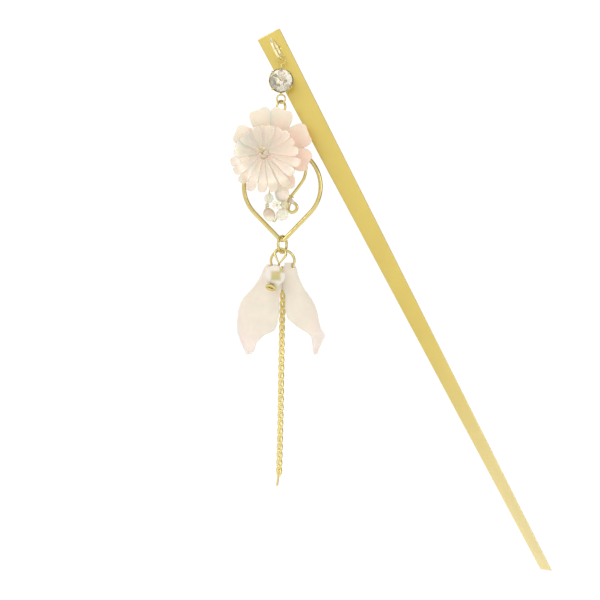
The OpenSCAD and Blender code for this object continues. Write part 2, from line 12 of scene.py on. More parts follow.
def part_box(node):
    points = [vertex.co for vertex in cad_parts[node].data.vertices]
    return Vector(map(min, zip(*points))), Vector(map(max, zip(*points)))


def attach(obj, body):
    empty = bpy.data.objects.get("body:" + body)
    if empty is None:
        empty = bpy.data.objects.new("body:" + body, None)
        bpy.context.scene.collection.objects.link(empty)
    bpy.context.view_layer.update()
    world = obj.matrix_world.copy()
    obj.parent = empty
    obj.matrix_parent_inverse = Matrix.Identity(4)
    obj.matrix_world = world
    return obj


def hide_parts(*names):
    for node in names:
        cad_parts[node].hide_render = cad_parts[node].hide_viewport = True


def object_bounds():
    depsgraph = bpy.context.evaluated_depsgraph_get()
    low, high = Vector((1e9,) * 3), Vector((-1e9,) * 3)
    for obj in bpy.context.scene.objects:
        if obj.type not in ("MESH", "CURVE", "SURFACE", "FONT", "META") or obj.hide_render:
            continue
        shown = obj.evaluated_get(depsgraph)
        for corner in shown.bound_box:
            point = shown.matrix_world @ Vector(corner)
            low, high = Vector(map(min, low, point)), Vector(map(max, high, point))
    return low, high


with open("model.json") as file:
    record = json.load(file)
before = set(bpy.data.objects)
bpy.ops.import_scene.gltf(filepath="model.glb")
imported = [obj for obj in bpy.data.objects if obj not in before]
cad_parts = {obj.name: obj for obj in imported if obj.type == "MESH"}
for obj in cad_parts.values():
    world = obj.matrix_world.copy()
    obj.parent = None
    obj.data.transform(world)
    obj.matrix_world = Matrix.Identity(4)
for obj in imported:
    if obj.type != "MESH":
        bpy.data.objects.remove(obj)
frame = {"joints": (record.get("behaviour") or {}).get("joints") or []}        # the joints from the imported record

bl_info = {
    "name": "Flower Drop Hair Stick",
    "version": (1, 0, 0),
    "blender": (4, 5, 0),
    "location": "3D View > Sidebar > Hair Stick",
    "description": "Builds a gold hair stick with a hanging flower drop",
    "category": "Add Mesh",
}

CAD_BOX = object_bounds()
MM = 0.001
HANG = Vector(frame["joints"][0]["pos_m"])
# Turns a piece that was made lying flat, so that its top faces the viewer
FACING = Matrix.Rotation(math.radians(90), 4, "X")
# Degrees about X that the ring with the petals is turned from lying flat
PETAL_RING_TILT = 110
# Height below which the bar grows paler towards its tip, a painted haze of light
BAR_HAZE_BELOW = 0.012


# Settings

def length(name, description, default):
    return FloatProperty(
        name=name, description=description, default=default, unit="LENGTH", subtype="DISTANCE", precision=5
    )


def angle(name, description, default):
    return FloatProperty(
        name=name, description=description, default=math.radians(default), unit="ROTATION", subtype="ANGLE"
    )


def colour(name, description, default):
    return FloatVectorProperty(
        name=name, description=description, default=default, subtype="COLOR", min=0, max=1
    )


def count(name, description, default):
    return IntProperty(name=name, description=description, default=default, min=1)


class StickSettings(bpy.types.PropertyGroup):
    length: length("Length", "Length of the stick along its middle line", 0.175)
    above_grip: length("Above the grip", "From the grip to the wide end", 0.1)
    top_width: length("Wide end", "Width of the stick at its wide end", 0.0072)
    tip_width: length("Tip", "Width of the stick at its tip", 0.00275)
    thickness: length("Thickness", "Thickness of the flat bar", 0.0012)
    tip_slant: length("Tip slant", "Extra length of the tip's right corner", 0.002)
    edge: length("Edge", "Radius of the softened edges", 0.0002)
    lean: angle("Lean", "Lean of the stick from upright", 27.4)
    loop_size: length("Loop", "Outer diameter of the upright loop", 0.00715)
    loop_wire: length("Loop wire", "Wire of the loop", 0.0009)
    loop_from_top: length("Loop place", "From the wide end to the loop's middle", 0.0049)
    loop_lean: angle("Loop lean", "Lean of the loop to the left", 10)


class StoneSettings(bpy.types.PropertyGroup):
    diameter: length("Stone", "Diameter of the clear stone", 0.0065)
    cup: length("Cup", "Outer diameter of the cup", 0.0073)
    claw: length("Claw", "Wire of the four claws", 0.00055)
    eye: length("Eye", "Outer diameter of the eyes above and below the cup", 0.0029)
    eye_wire: length("Eye wire", "Wire of the two eyes", 0.00045)


class WireSettings(bpy.types.PropertyGroup):
    frame_radius: length("Frame", "Radius of the frame's round part", 0.0111)
    frame_foot: length("Foot", "From the round part's middle to the pointed foot", 0.016)
    foot_bend: length("Foot bend", "Radius of the bend in the foot", 0.001)
    frame_wire: length("Frame wire", "Wire of the frame", 0.00125)
    scroll_wire: length("Scroll wire", "Wire of the inner scroll", 0.0009)
    binding_wire: length("Binding wire", "Wire that ties the flowers and beads on", 0.0004)
    pin_wire: length("Pin wire", "Wire of the pearl's pin", 0.0007)
    chain_wire: length("Chain wire", "Wire of the chain's links", 0.0008)
    chain_width: length("Chain width", "Outer width of a link", 0.0018)
    chain_pitch: length("Chain pitch", "Distance between two links", 0.0023)


class FlowerSettings(bpy.types.PropertyGroup):
    pink_size: length("Pink flower", "Diameter of the pink flower", 0.0238)
    pink_thickness: length("Pink thickness", "Thickness of the pink flower's petals", 0.0009)
    clear_petals: count("Clear petals", "Petals of the clear flower", 20)
    clear_size: length("Clear flower", "Diameter of the clear flower", 0.02)
    clear_thickness: length("Clear thickness", "Thickness of the clear flower's petals", 0.0005)
    petal_thickness: length("Petal thickness", "Thickness of the two big petals", 0.0009)
    pearl: length("Pearl", "Diameter of the pearl", 0.006)


class ColourSettings(bpy.types.PropertyGroup):
    gold: colour("Gold", "Plated wire", (0.72, 0.60, 0.235))
    links: colour("Links", "Plated chain", (0.83, 0.69, 0.28))
    # The loop is polished, and its paler tint is a painted highlight.
    painted_shine: colour("Loop", "Polished loop on the stick", (0.97, 0.86, 0.50))
    bar_top: colour("Bar, wide end", "Satin face of the stick at its wide end", (0.74, 0.58, 0.165))
    # Painted haze of light: the tip's colour is paler than the plating.
    bar_tip_hazed: colour("Bar, tip", "Satin face of the stick at its tip", (0.85, 0.73, 0.38))
    pink: colour("Pink", "Pink flower where it is pinkest", (0.89, 0.68, 0.55))
    blush: colour("Blush", "Pink flower where it is palest", (0.89, 0.805, 0.655))
    bud: colour("Bud", "Pink bud at its foot", (0.97, 0.86, 0.74))
    bud_top: colour("Bud, top", "Pink bud at its top", (0.97, 0.83, 0.68))
    ivory: colour("Ivory", "Big petals near the chain", (0.86, 0.80, 0.68))
    rose: colour("Rose", "Big petals at their edges", (0.95, 0.84, 0.77))
    clear: colour("Clear", "Clear acrylic seen flat", (1.0, 0.935, 0.83))
    clear_rim: colour("Clear rim", "Clear acrylic seen along its edge", (0.95, 0.87, 0.75))
    bead: colour("Bead", "Pale glass beads", (0.96, 0.92, 0.76))
    straw: colour("Straw", "Little yellow bead", (0.88, 0.80, 0.50))
    olive: colour("Olive", "Bead right of the seed bead", (0.84, 0.78, 0.56))
    lilac: colour("Lilac", "Small bead on the scroll", (0.86, 0.78, 0.72))
    mauve: colour("Mauve", "Oval bead at its upper end", (0.68, 0.56, 0.40))
    nacre: colour("Nacre", "Pearl", (0.79, 0.735, 0.66))
    # Painted reflection: the olive patches stand in for dark things mirrored in the pearl.
    reflection_tint: colour("Patch", "Olive patches on the pearl", (0.56, 0.49, 0.23))


def settings():
    return bpy.context.scene.hair_stick


# Places

def circle_point(radius, turn, height=0.0):
    """A point on a circle about +Z, at an angle in radians."""
    return Vector((radius * math.cos(turn), radius * math.sin(turn), height))


def middle(node):
    low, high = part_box(node)
    return (low + high) / 2


def on_drop(x, y, z):
    """A place on the drop, in millimetres from the point where it hangs."""
    return HANG + MM * Vector((x, y, z))


def turned(x=0.0, y=0.0, z=0.0):
    """Turns by degrees about X, then Y, then Z."""
    x, y, z = (Matrix.Rotation(math.radians(turn), 4, axis) for turn, axis in ((x, "X"), (y, "Y"), (z, "Z")))
    return z @ y @ x


def moved(place):
    return Matrix.Translation(Vector(place))


def towards(direction, place):
    """Turns local +Z along a direction, at a place."""
    return moved(place) @ Vector(direction).to_track_quat("Z", "Y").to_matrix().to_4x4()


def smooth_route(points, steps):
    """A smooth curve through the points, with a number of steps for each stretch."""
    points = [Vector(p) for p in points]
    last = len(points) - 1
    route = []
    for i in range(last):
        a, b = points[max(i - 1, 0)], points[i]
        c, d = points[i + 1], points[min(i + 2, last)]
        for s in range(steps):
            t = s / steps
            bend = (2 * a - 5 * b + 4 * c - d) + t * (3 * (b - c) + d - a)
            route.append(b + 0.5 * t * ((c - a) + t * bend))
    return route + [points[last]]


def drop_route(points, steps):
    return smooth_route([on_drop(*p) for p in points], steps)


def ring_route(radius, gap_at=None, gap=0.0, steps=72):
    """Points round a circle about +Z, or round all of it but a fine gap at an angle in degrees."""
    whole = gap_at is None
    start = 0.0 if whole else math.radians(gap_at) + gap / radius / 2
    sweep = 2 * math.pi - gap / radius
    return [circle_point(radius, start + sweep * i / steps) for i in range(steps if whole else steps + 1)]


def arc(radius, height, start, end, steps):
    """(x, z) points of an arc from one angle to another, about a point on the Z axis."""
    turns = [start + (end - start) * i / steps for i in range(steps + 1)]
    return [(radius * math.cos(t), height + radius * math.sin(t)) for t in turns]


def drop_outline(radius, corner, bend, steps):
    """A round outline that narrows to a corner below its middle, as (x, z) points."""
    half = math.asin(radius / corner)
    points = arc(radius, 0, -half, math.pi + half, steps)
    if bend == 0:
        return points + [(0.0, -corner)]
    return points + arc(bend, bend / math.sin(half) - corner, math.pi + half, 2 * math.pi - half, 12)


# Small tools

def deselect():
    if bpy.context.mode != "OBJECT":
        bpy.ops.object.mode_set(mode="OBJECT")
    bpy.ops.object.select_all(action="DESELECT")


def only(piece):
    deselect()
    piece.select_set(True)
    bpy.context.view_layer.objects.active = piece


def named(name):
    piece = bpy.context.object
    piece.name = name
    piece.data.name = name
    return piece


def edit(action="SELECT"):
    """Enters edit mode on the active piece, with all of its points or none of them selected."""
    bpy.ops.object.mode_set(mode="EDIT")
    bpy.ops.mesh.select_mode(type="VERT")
    bpy.ops.mesh.select_all(action=action)


def select(piece, test):
    """Enters edit mode with the points that pass the test."""
    only(piece)
    edit("DESELECT")
    bpy.ops.object.mode_set(mode="OBJECT")
    for point in piece.data.vertices:
        point.select = test(point)
    bpy.ops.object.mode_set(mode="EDIT")


def outward(piece):
    """Merges doubled points and turns the faces outwards."""
    only(piece)
    edit()
    bpy.ops.mesh.remove_doubles(threshold=1e-6)
    bpy.ops.mesh.normals_make_consistent(inside=False)
    bpy.ops.object.mode_set(mode="OBJECT")
    return piece


def modify(piece, kind, **values):
    only(piece)
    modifier = piece.modifiers.new(kind.title(), kind)
    for key, value in values.items():
        setattr(modifier, key, value)
    bpy.ops.object.modifier_apply(modifier=modifier.name)


def soften(piece, width, segments=3, limit=30):
    modify(piece, "BEVEL", width=width, segments=segments, limit_method="ANGLE",
           angle_limit=math.radians(limit), harden_normals=False)


def rounded(piece, levels):
    modify(piece, "SUBSURF", levels=levels, render_levels=levels)


def thickened(sheet, thickness, levels):
    """Gives a thin sheet its thickness and rounds it."""
    modify(sheet, "SOLIDIFY", thickness=thickness, offset=0)
    rounded(sheet, levels)


def settle(piece, matrix):
    """Puts the piece in its place and leaves the place in its mesh."""
    only(piece)
    piece.matrix_world = matrix
    bpy.ops.object.transform_apply()
    return piece


def copies(pattern, name, places):
    """Puts a copy of a pattern at each place, each with its own mesh, and deletes the pattern."""
    twins = []
    for i, place in enumerate(places):
        twin = pattern.copy()
        twin.data = pattern.data.copy()
        twin.name = f"{name}_{i}"
        bpy.context.scene.collection.objects.link(twin)
        twin.matrix_world = place
        twins.append(twin)
    only(pattern)
    bpy.ops.object.delete()
    return twins


def joined(pieces, name):
    deselect()
    for piece in pieces:
        piece.select_set(True)
    bpy.context.view_layer.objects.active = pieces[0]
    bpy.ops.object.join()
    bpy.ops.object.transform_apply()
    return named(name)


def dressed(piece, material, node, smooth=40, body="drop"):
    """Gives the piece its finish and its body, and hides the node that it stands for."""
    only(piece)
    bpy.ops.object.shade_smooth_by_angle(angle=math.radians(smooth))
    piece.data.materials.append(material)
    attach(piece, body)
    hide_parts(node)
    return piece


def golden(piece, node, smooth=40):
    """Gives a piece of the drop the wire's finish, which is made once."""
    finish = bpy.data.materials.get("bright_gold") or bright_gold("bright_gold", settings().colours.gold)
    return dressed(piece, finish, node, smooth)


def wire(name, route, diameter, closed=False, sides=16, round_ends=True):
    """A round wire along a route."""
    deselect()
    bpy.ops.curve.primitive_nurbs_path_add()
    curve = bpy.context.object.data
    curve.splines.clear()
    spline = curve.splines.new("POLY")
    places = [(Vector(p), 1.0) for p in route]
    if round_ends and not closed:
        places = round_tips(places, diameter / 2)
    spline.points.add(len(places) - 1)
    for point, (place, radius) in zip(spline.points, places):
        point.co = (*place, 1)
        point.radius = radius
    spline.use_cyclic_u = closed
    curve.dimensions = "3D"
    curve.twist_mode = "MINIMUM"
    curve.bevel_depth = diameter / 2
    curve.bevel_resolution = (sides - 4) // 2
    curve.use_fill_caps = True
    bpy.ops.object.convert(target="MESH")
    return outward(named(name))


def round_tips(places, radius):
    """Adds narrowing points at both ends, so that the wire's ends are domed."""
    tips = []
    for end, inner in ((places[0][0], places[1][0]), (places[-1][0], places[-2][0])):
        out = (end - inner).normalized() * radius
        turns = [math.radians(a) for a in (30, 60, 82)]
        tips.append([(end + out * math.sin(t), math.cos(t)) for t in turns])
    return tips[0][::-1] + places + tips[1]


def drawn_out(name, start, steps):
    """A row of points, drawn out of the first one step by step, left in edit mode and selected."""
    deselect()
    bpy.ops.mesh.primitive_plane_add(size=MM)
    piece = named(name)
    edit()
    bpy.ops.mesh.merge(type="CENTER")
    bpy.ops.transform.translate(value=start)
    for step in steps:
        bpy.ops.mesh.extrude_vertices_move(TRANSFORM_OT_translate={"value": step})
    bpy.ops.mesh.select_all(action="SELECT")
    return piece


def lathe(name, outline, steps=48, closed=True):
    """Turns an outline of (radius, height) points, in millimetres, about +Z."""
    points = [MM * Vector((radius, 0, height)) for radius, height in outline]
    ends = points[1:] + ([points[0]] if closed else [])
    piece = drawn_out(name, points[0], [b - a for a, b in zip(points, ends)])
    bpy.ops.mesh.remove_doubles(threshold=1e-7)
    bpy.ops.mesh.spin(steps=steps, angle=2 * math.pi, center=(0, 0, 0), axis=(0, 0, 1))
    return outward(piece)


def pierced_ball(name, width, long, hole, rings, sides):
    """A round or oval ball with a hole along +Z. The lengths and the hole's radius are in millimetres."""
    start = math.asin(2 * hole / width)
    turns = [start + (math.pi - 2 * start) * i / rings for i in range(rings + 1)]
    return lathe(name, [(width / 2 * math.sin(t), long / 2 * math.cos(t)) for t in turns], sides)


def eye_on_stem(name, place, radius, thickness, turn, root, stem, way=1):
    """A ring, and a straight stem from its root to the ring's lower side, or upper one if way is -1."""
    eye = settle(wire(name, ring_route(radius), thickness, closed=True), moved(place) @ turn)
    end = place - Vector((0, 0, way * radius))
    return joined([eye, wire(name + "_stem", [root, root.lerp(end, 0.5), end], stem)], name)


def petal_sheet(name, size, rows, columns, arch, ripple=0.0):
    """A thin petal that grows along +Y from a flat grid. Each row gives a share of the size, a half
    width and a height. Arch lifts the middle line and ripple waves the rows. All but the size is in
    millimetres."""
    deselect()
    bpy.ops.mesh.primitive_grid_add(x_subdivisions=columns, y_subdivisions=len(rows) - 1, size=2)
    piece = named(name)
    across = columns + 1
    for i, (share, half_width, height) in enumerate(rows):
        select(piece, lambda v: v.index // across == i)
        y = piece.data.vertices[i * across].co.y
        bpy.ops.transform.resize(value=(half_width * MM, 1, 1), center_override=(0, y, 0))
        bpy.ops.transform.translate(value=(0, share * size - y, height * MM))
    for j in range(across):
        u = 2 * j / columns - 1
        back = ripple * (1 - math.cos(2.5 * math.pi * u))
        select(piece, lambda v: v.index % across == j)
        bpy.ops.transform.translate(value=(0, -back * MM, arch * (1 - u * u) * MM))
    bpy.ops.object.mode_set(mode="OBJECT")
    return piece


def flower(name, sheet, thickness, places, heart, heart_at):
    """Joins the copies of a petal, each at its place, with a turned middle from its outline."""
    thickened(sheet, thickness, 2)
    petals = copies(sheet, name + "_petal", places)
    return joined(petals + [settle(lathe(name + "_heart", heart, closed=False), heart_at)], "flower_" + name)


# Finishes

class Nodes:
    """A node tree, with short ways to add nodes to it."""

    def __init__(self, tree):
        self.tree = tree

    def put(self, socket, value):
        """Links the socket to another node's output, or gives it a constant."""
        if isinstance(value, bpy.types.NodeSocket):
            self.tree.links.new(value, socket)
        else:
            socket.default_value = value

    def add(self, kind, *inputs, output=0, **values):
        """Adds a node and returns one of its outputs. Inputs are filled in order or by name, and a
        name that isn't an input's is one of the node's own settings, which come first."""
        node = self.tree.nodes.new("ShaderNode" + kind)
        for key, value in values.items():
            socket = node.inputs.get(key.replace("_", " "))
            if socket is None:
                setattr(node, key, value)
            else:
                self.put(socket, value)
        for socket, value in zip(node.inputs, inputs):
            self.put(socket, value)
        return node.outputs[output]

    def ramp(self, value, stops):
        tinted = self.add("ValToRGB", value)
        elements = tinted.node.color_ramp.elements
        while len(elements) < len(stops):
            elements.new(0.5)
        for element, (position, tint) in zip(elements, stops):
            element.position = position
            element.color = (*tint, 1)
        return tinted

    def fitted(self, value, low, high, first=0.0, last=1.0, kind="LINEAR"):
        """Goes from the first to the last number while the value goes from low to high."""
        return self.add("MapRange", interpolation_type=kind, Value=value, From_Min=low, From_Max=high,
                        To_Min=first, To_Max=last)


class Finish(Nodes):
    """A material with one Principled shader."""

    def __init__(self, name, **values):
        self.material = bpy.data.materials.new(name)
        self.material.use_nodes = True
        super().__init__(self.material.node_tree)
        self.give(**values)
        self.coordinates = self.add("TexCoord", output="Object")

    def give(self, **values):
        for key, value in values.items():
            self.put(self.tree.nodes["Principled BSDF"].inputs[key.replace("_", " ")], value)

    def math(self, operation, *values):
        return self.add("Math", *values, operation=operation)

    def mapped(self, place=(0, 0, 0), turn=(0, 0, 0), scale=(1, 1, 1)):
        return self.add("Mapping", Vector=self.coordinates, Location=place, Rotation=turn, Scale=scale)

    def noise(self, scale, detail=3.0, vector=None, roughness=0.5):
        return self.add("TexNoise", Vector=vector or self.coordinates, Scale=scale, Detail=detail,
                        Roughness=roughness)

    def between(self, value, low, high):
        """Eases from 0 to 1 while the value goes from low to high."""
        return self.fitted(value, low, high, kind="SMOOTHSTEP")

    def near(self, place, inner, outer):
        """0 within the inner distance of a place, 1 beyond the outer one."""
        shifted = self.mapped(-Vector(place))
        return self.between(self.add("VectorMath", shifted, operation="LENGTH", output="Value"), inner, outer)

    def part(self, vector, axis):
        return self.add("SeparateXYZ", vector, output=axis)

    def along(self, axis, low, high):
        """0 where the place on an axis is low, 1 where it is high."""
        return self.between(self.part(self.coordinates, axis), low, high)

    def spread(self, noise, low, high):
        """Turns a noise into numbers from low to high."""
        return self.fitted(noise, 0.3, 0.7, low, high)

    def clouded(self, colour, scale, low, high):
        """Gives the shader a colour, darker and lighter in soft clouds."""
        clouds = self.spread(self.noise(scale, 2.0), low, high)
        self.give(Base_Color=self.add("VectorMath", colour, operation="SCALE", Scale=clouds))

    def tint(self, value, stops):
        self.give(Base_Color=self.ramp(value, stops))

    def rough(self, value, low, high):
        self.give(Roughness=self.spread(value, low, high))

    def bump(self, height, strength, distance):
        self.give(Normal=self.add("Bump", Strength=strength, Distance=distance, Height=height))


def shaded(tint, factor):
    return tuple(min(c * factor, 1.0) for c in tint)


def satin_gold(name, tip_tint, top_tint, coarse):
    """Plated metal, brushed along the bar's length, with a painted haze of light that makes it paler towards
    its tip.
    """
    finish = Finish(name, Metallic=1.0, Anisotropic=0.35 * coarse)
    grain = finish.mapped(turn=(0, settings().stick.lean, 0), scale=(900, 900, 14))
    scratches = finish.noise(4.0, 4.0, grain, 0.6)
    # Painted haze of light, paler towards the tip
    height = finish.along("Z", CAD_BOX[0].z, BAR_HAZE_BELOW)
    finish.clouded(finish.ramp(height, [(0.0, tip_tint), (1.0, top_tint)]), 90, 0.97, 1.03)
    finish.rough(scratches, 0.22 + 0.08 * coarse, 0.30 + 0.12 * coarse)
    finish.bump(scratches, 0.2 * coarse, 0.00002)
    return finish.material


def bright_gold(name, tint):
    """Plated wire, lightly drawn."""
    finish = Finish(name, Metallic=1.0)
    fine = finish.noise(9000, 2.0)
    finish.tint(finish.noise(300, 2.0), [(0.3, shaded(tint, 0.96)), (0.7, shaded(tint, 1.03))])
    finish.rough(fine, 0.17, 0.25)
    finish.bump(fine, 0.05, 0.00001)
    return finish.material


def cut_glass():
    """Clear front of the stone, with a breath of pink and green."""
    finish = Finish("cut_glass", Alpha=0.24, Coat_Weight=1.0, Coat_Roughness=0.02)
    finish.tint(finish.noise(700), [(0.35, (0.98, 0.90, 0.84)), (0.65, (0.93, 0.95, 0.82))])
    finish.rough(finish.noise(300), 0.02, 0.06)
    return finish.material


def silver_foil():
    """Silvered back of the stone, with painted glints: small cells in tints from dark to bright."""
    finish = Finish("silver_foil", Metallic=1.0)
    glint_cells = finish.add("TexVoronoi", Vector=finish.coordinates, Scale=1250.0, output="Color")
    # Painted glints: the darkest and brightest cells stand in for the stone's sparkle
    finish.tint(finish.part(glint_cells, "X"), [
        (0.0, (0.14, 0.10, 0.04)), (0.26, (0.76, 0.61, 0.47)), (0.4, (1.0, 0.96, 0.86)),
        (0.62, (0.83, 0.84, 0.60)), (0.8, (1.0, 0.97, 0.88)), (1.0, (1.0, 0.92, 0.82)),
    ])
    finish.rough(finish.noise(900, 2.0), 0.1, 0.2)
    return finish.material


def frosted(name, heart, heart_tint, edge_tint, inner, outer, sheer):
    """Frosted acrylic with a fine grain, which changes colour with the distance from a place."""
    finish = Finish(name, Transmission_Weight=sheer, IOR=1.4, Subsurface_Weight=0.3, Subsurface_Scale=0.001)
    tints = finish.ramp(finish.near(heart, inner, outer), [(0.0, heart_tint), (1.0, edge_tint)])
    finish.clouded(tints, 330, 0.965, 1.03)
    grain = finish.noise(5200, 2.0)
    finish.rough(grain, 0.36, 0.5)
    finish.bump(grain, 0.2, 0.00002)
    return finish.material


def veiled(name, tint, rim_tint, least, most, gloss, blush_at=None):
    """Clear acrylic or glass: seen flat a thin veil, denser and darker where it turns away. Near
    the blush's place it is pink, and far from it the tips are greyer and less clear."""
    finish = Finish(name, IOR=1.25, Coat_Weight=gloss, Coat_Roughness=0.04, Subsurface_Weight=0.4,
                    Subsurface_Scale=0.001)
    turned_away = finish.between(finish.add("LayerWeight", Blend=0.5, output="Facing"), 0.3, 0.95)
    dense = turned_away
    tints = finish.ramp(turned_away, [(0.0, tint), (0.6, shaded(tint, 0.97)), (1.0, rim_tint)])
    if blush_at is not None:
        cloudy = finish.math("MULTIPLY", finish.near(blush_at, 0.0075, 0.0112), 0.85)
        dense = finish.math("MAXIMUM", turned_away, cloudy)
        blush = finish.ramp(finish.near(blush_at, 0.004, 0.012), [
            (0.0, (1.0, 0.91, 0.88)), (0.6, (1.0, 0.96, 0.95)), (0.88, (0.97, 0.95, 0.92)),
            (1.0, (0.82, 0.78, 0.72)),
        ])
        tints = finish.add("VectorMath", tints, blush, operation="MULTIPLY")
    finish.clouded(tints, 900, 0.97, 1.03)
    finish.give(Alpha=finish.fitted(dense, 0, 1, least, most))
    ripple = finish.noise(700, 2.0)
    finish.rough(ripple, 0.06, 0.14)
    finish.bump(ripple, 0.2, 0.00005)
    return finish.material


def bead_glass(name, tint):
    return veiled(name, tint, shaded(tint, 0.6), least=0.6, most=0.95, gloss=0.6)


def mauve_acrylic(mauve, pale):
    """Half-clear bead, mauve above and pale below."""
    finish = Finish("mauve_acrylic", Transmission_Weight=0.15, IOR=1.45, Coat_Weight=0.6, Coat_Roughness=0.04)
    low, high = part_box("bead_mauve")
    height = finish.along("Z", low.z, high.z)
    tints = finish.ramp(height, [(0.1, pale), (0.45, shaded(mauve, 1.15)), (0.9, mauve)])
    finish.clouded(tints, 700, 0.95, 1.05)
    finish.rough(finish.noise(1200), 0.08, 0.2)
    return finish.material


def nacre(tint, reflection_tint, reflection_spots):
    """Pearl coating with squarish painted reflections in another tint, each at a place, with its half width.
    """
    finish = Finish("nacre", IOR=1.3, Coat_Weight=0.3, Coat_Roughness=0.08, Subsurface_Weight=0.3,
                    Subsurface_Scale=0.001)
    clear = None
    # Each square is a painted reflection of dark things round the pearl
    for place, half in reflection_spots:
        sides = finish.add("VectorMath", finish.mapped(-Vector(place)), operation="ABSOLUTE")
        wide = finish.math("MAXIMUM", finish.part(sides, "X"), finish.part(sides, "Z"))
        deep = finish.math("MULTIPLY", finish.part(sides, "Y"), 0.6)
        away = finish.math("SMOOTH_MAX", wide, deep, 0.5 * half)
        edge = finish.between(away, 0.65 * half, 1.45 * half)
        clear = edge if clear is None else finish.math("MULTIPLY", clear, edge)
    finish.clouded(finish.ramp(clear, [(0.0, reflection_tint), (1.0, tint)]), 600, 0.98, 1.02)
    finish.rough(finish.noise(800), 0.16, 0.28)
    return finish.material


def knob_ivory():
    """Knobs of the stamens, in yellowish ivory."""
    finish = Finish("ivory_knobs", Subsurface_Weight=0.2, Subsurface_Scale=0.0005)
    finish.tint(finish.noise(900), [(0.35, (0.56, 0.46, 0.26)), (0.65, (0.80, 0.71, 0.48))])
    finish.rough(finish.noise(2000), 0.25, 0.4)
    return finish.material


# Pieces

class HAIRSTICK_OT_stick(bpy.types.Operator):
    """Build the flat bar and the loop that the drop hangs from"""

    bl_idname = "hair_stick.stick"
    bl_label = "Stick"

    # How deep the loop's wire goes into its solder
    loop_sink = 0.325 * MM
    # The solder's foot as a multiple of the loop's wire; shares of it and heights in millimetres
    solder_foot = 1.1
    solder = [(0, -0.3), (1, -0.3), (0.96, 0.02), (0.75, 0.1), (0.55, 0.24), (0.3, 0.4), (0, 0.44)]

    def execute(self, context):
        s = settings().stick
        tints = settings().colours
        leaning = Matrix.Rotation(-s.lean, 4, "Y")
        satin = satin_gold("satin_gold", tints.bar_tip_hazed, tints.bar_top, coarse=1)
        dressed(self.bar(s, leaning), satin, "stick", body="stick")

        radius = (s.loop_size - s.loop_wire) / 2
        standoff = (s.thickness + s.loop_wire) / 2 + radius * math.cos(s.loop_lean) - self.loop_sink
        centre = Vector((0, -standoff, s.above_grip - s.loop_from_top))
        upright = Matrix.Rotation(-s.loop_lean, 4, "Z") @ turned(y=90)
        loop = wire("stick_loop", ring_route(radius), s.loop_wire, closed=True, sides=20)
        settle(loop, leaning @ moved(centre) @ upright)
        # Polished loop, with a paler tint that is a painted highlight
        polished_painted_shine = satin_gold("polished_gold_painted_shine", tints.painted_shine, tints.painted_shine, coarse=0.3)
        dressed(loop, polished_painted_shine, "stick", body="stick")

        foot = s.loop_wire * self.solder_foot / MM
        solder = lathe("loop_solder", [(foot * share, height) for share, height in self.solder], closed=False)
        touch = Vector((radius * math.sin(s.loop_lean), -s.thickness / 2, centre.z))
        settle(solder, leaning @ moved(touch) @ FACING)
        dressed(solder, satin, "stick", smooth=60, body="stick")
        return {"FINISHED"}

    def bar(self, s, leaning):
        low = s.above_grip - s.length
        deselect()
        bpy.ops.mesh.primitive_cube_add(size=1, location=(0, 0, (s.above_grip + low) / 2))
        bar = named("stick_bar")
        bar.scale = (s.top_width, s.thickness, s.length)
        bpy.ops.object.transform_apply()
        select(bar, lambda v: v.co.z < 0)
        bpy.ops.transform.resize(value=(s.tip_width / s.top_width, 1, 1), center_override=(0, 0, low))
        for side in (-1, 1):
            select(bar, lambda v: v.co.z < 0 and v.co.x * side > 0)
            bpy.ops.transform.translate(value=(0, 0, -side * s.tip_slant / 2))
        soften(bar, s.edge)
        return settle(bar, leaning)


